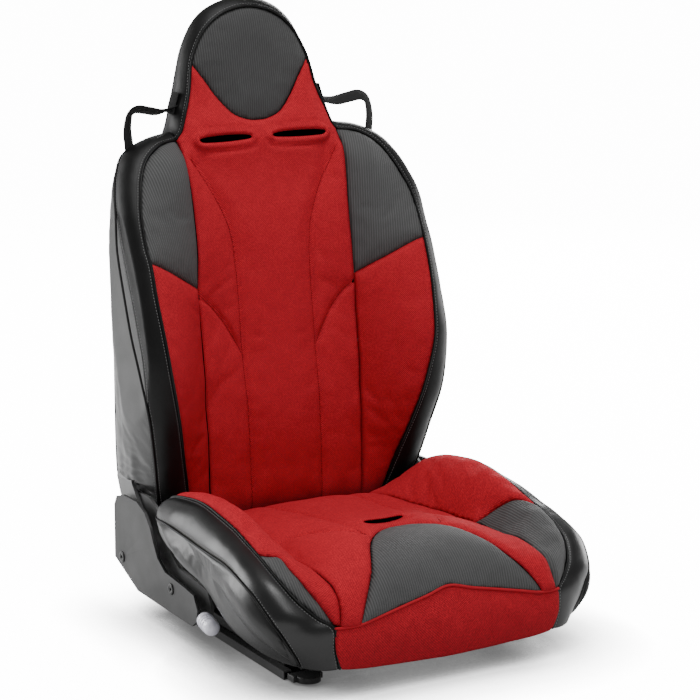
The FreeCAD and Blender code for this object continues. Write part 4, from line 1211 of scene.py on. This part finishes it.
def make_washers():
    """Dark cup washers under the two plate screws on each side."""
    sides = 32
    for side, s in SIDES.items():
        verts, faces = [], []
        for y, z in PLATE_SCREWS:
            quads = ring_faces(sides, len(WASHER_SECTION), len(verts), closed=True)
            faces += quads if s > 0 else [face[::-1] for face in quads]
            for x, radius in WASHER_SECTION:
                for k in range(sides):
                    a = math.tau * k / sides
                    verts.append((s * x, y + radius * math.cos(a), z + radius * math.sin(a)))
        piece = make_object("plate_washers_" + side, verts, faces, None, "zinc_fasteners")
        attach(piece, "seat")


make_washers()


def make_knob_rings():
    """Raised grip rings around the rear end of the lever's knob."""
    low, high = (np.array(v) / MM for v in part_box("recline_lever_knob"))
    radius = (high[0] - low[0]) / 2
    middle_x = (low[0] + high[0]) / 2
    rear = np.array([middle_x, high[1] - radius, high[2] - radius])
    front = np.array([middle_x, low[1] + radius, low[2] + radius])
    ahead = (front - rear) / np.linalg.norm(front - rear)
    side = np.array([1.0, 0.0, 0.0])
    up = np.cross(ahead, side)
    for i in range(3):
        centre = rear + ahead * (3.0 + 6.0 * i)
        turns = [math.tau * k / 48 for k in range(49)]
        line = [centre + radius * (math.cos(a) * side + math.sin(a) * up) for a in turns]
        tube("knob_ring_%d" % i, line, 0.7, "recline_release", "white_plastic")


make_knob_rings()


# ---- camera, floor and light ------------------------------------------------------
CAMERA_PLACE = (-2.00396, -3.56065, 1.37245)
CAMERA_TURN, CAMERA_TILT = -29.5, 12.5
LENS = 131.14
FLOOR_REACH, FLOOR_Z = 45.0, -0.0005
PAPER_GLOW = 14.0     # how bright the white backdrop looks to the camera
AIM = (0, 0.1, 0.5)


def make_camera():
    data = bpy.data.cameras.new("camera")
    data.sensor_width = 36.0
    data.lens = LENS
    data.clip_end = 200.0
    camera = bpy.data.objects.new("camera", data)
    bpy.context.scene.collection.objects.link(camera)
    turn, tilt = math.radians(CAMERA_TURN), math.radians(CAMERA_TILT)
    right = Vector((math.cos(turn), math.sin(turn), 0))
    back = Vector((math.sin(turn) * math.cos(tilt), -math.cos(turn) * math.cos(tilt), math.sin(tilt)))
    up = back.cross(right)
    place = Vector(CAMERA_PLACE)
    camera.matrix_world = Matrix((
        (right.x, up.x, back.x, place.x), (right.y, up.y, back.y, place.y), (right.z, up.z, back.z, place.z),
        (0, 0, 0, 1)))
    bpy.context.scene.camera = camera


def area_light(name, place, target, size, power):
    data = bpy.data.lights.new(name, "AREA")
    data.shape = "RECTANGLE"
    data.size, data.size_y = size
    data.energy = power
    light = bpy.data.objects.new(name, data)
    light.location = place
    light.rotation_euler = (Vector(target) - Vector(place)).to_track_quat("-Z", "Y").to_euler()
    light.visible_camera = False
    bpy.context.scene.collection.objects.link(light)


def make_floor():
    """A white paper floor that stays white to the camera, apart from a contact shadow painted into its colour
    and glow from ambient occlusion under the seat.
    """
    corners = [(x * FLOOR_REACH, y * FLOOR_REACH, FLOOR_Z) for x, y in ((-1, -1), (1, -1), (1, 1), (-1, 1))]
    mesh = bpy.data.meshes.new("floor")
    mesh.from_pydata(corners, [], [(0, 1, 2, 3)])
    floor = bpy.data.objects.new("floor", mesh)
    bpy.context.scene.collection.objects.link(floor)
    material, w, shader, _ = start_material("floor", 0.8)
    shader.inputs["Specular IOR Level"].default_value = 0.1
    shader.inputs["Emission Color"].default_value = grey(1.0)
    # painted contact shadow: ambient occlusion darkens the paper's colour and its glow near the seat
    contact = w.node("AmbientOcclusion")
    contact.inputs["Distance"].default_value = 0.15
    paper = w.mix(w.math("POWER", contact.outputs["AO"], 2.0), grey(0.03), grey(0.6))
    w.join(paper, shader.inputs["Base Color"])
    sight = w.node("LightPath")
    # painted reflection: the paper also glows a little to glossy rays, so the vinyl and metal show it as
    # bright reflections
    mirrored_glow = w.math("MULTIPLY", sight.outputs["Is Glossy Ray"], 0.06)
    seen = w.math("ADD", sight.outputs["Is Camera Ray"], mirrored_glow)
    # the glow fades with ambient occlusion, the painted contact shadow
    glow = w.math("MULTIPLY", seen, w.math("POWER", contact.outputs["AO"], 4.0))
    w.join(w.math("ADD", w.math("MULTIPLY", glow, PAPER_GLOW), 0.12), shader.inputs["Emission Strength"])
    mesh.materials.append(material)


def make_light():
    world = bpy.data.worlds.new("studio")
    world.use_nodes = True
    backdrop = world.node_tree.nodes["Background"]
    backdrop.inputs["Color"].default_value = grey(1.0)
    w = Wires(world.node_tree)
    glow = w.math("MULTIPLY", w.node("LightPath").outputs["Is Camera Ray"], PAPER_GLOW)
    w.join(w.math("ADD", glow, 0.42), backdrop.inputs["Strength"])
    bpy.context.scene.world = world
    area_light("key", (-0.7, -2.4, 3.7), AIM, (1.5, 1.5), 52)
    area_light("left_strip", (-2.4, 2.5, 1.3), AIM, (1.5, 1.9), 105)
    area_light("right_strip", (2.1, 3.0, 1.7), AIM, (1.3, 1.9), 130)
    area_light("top", (-0.1, -0.5, 3.5), AIM, (1.4, 1.4), 85)
    area_light("right_low", (2.4, 0.5, 0.55), (0.2, 0.1, 0.4), (0.9, 1.3), 30)


def paint_frame():
    """Every CAD piece that still shows gets its own finish."""
    slots = {entry["node"]: entry["material_slot"] for entry in frame["record"]["subparts"]}
    for name, piece in nodes.items():
        finish = FINISH.get(slots.get(name), FINISH["frame_paint"])
        piece.data.materials.clear()
        piece.data.materials.append(finish)


make_camera()
make_floor()
make_light()
paint_frame()
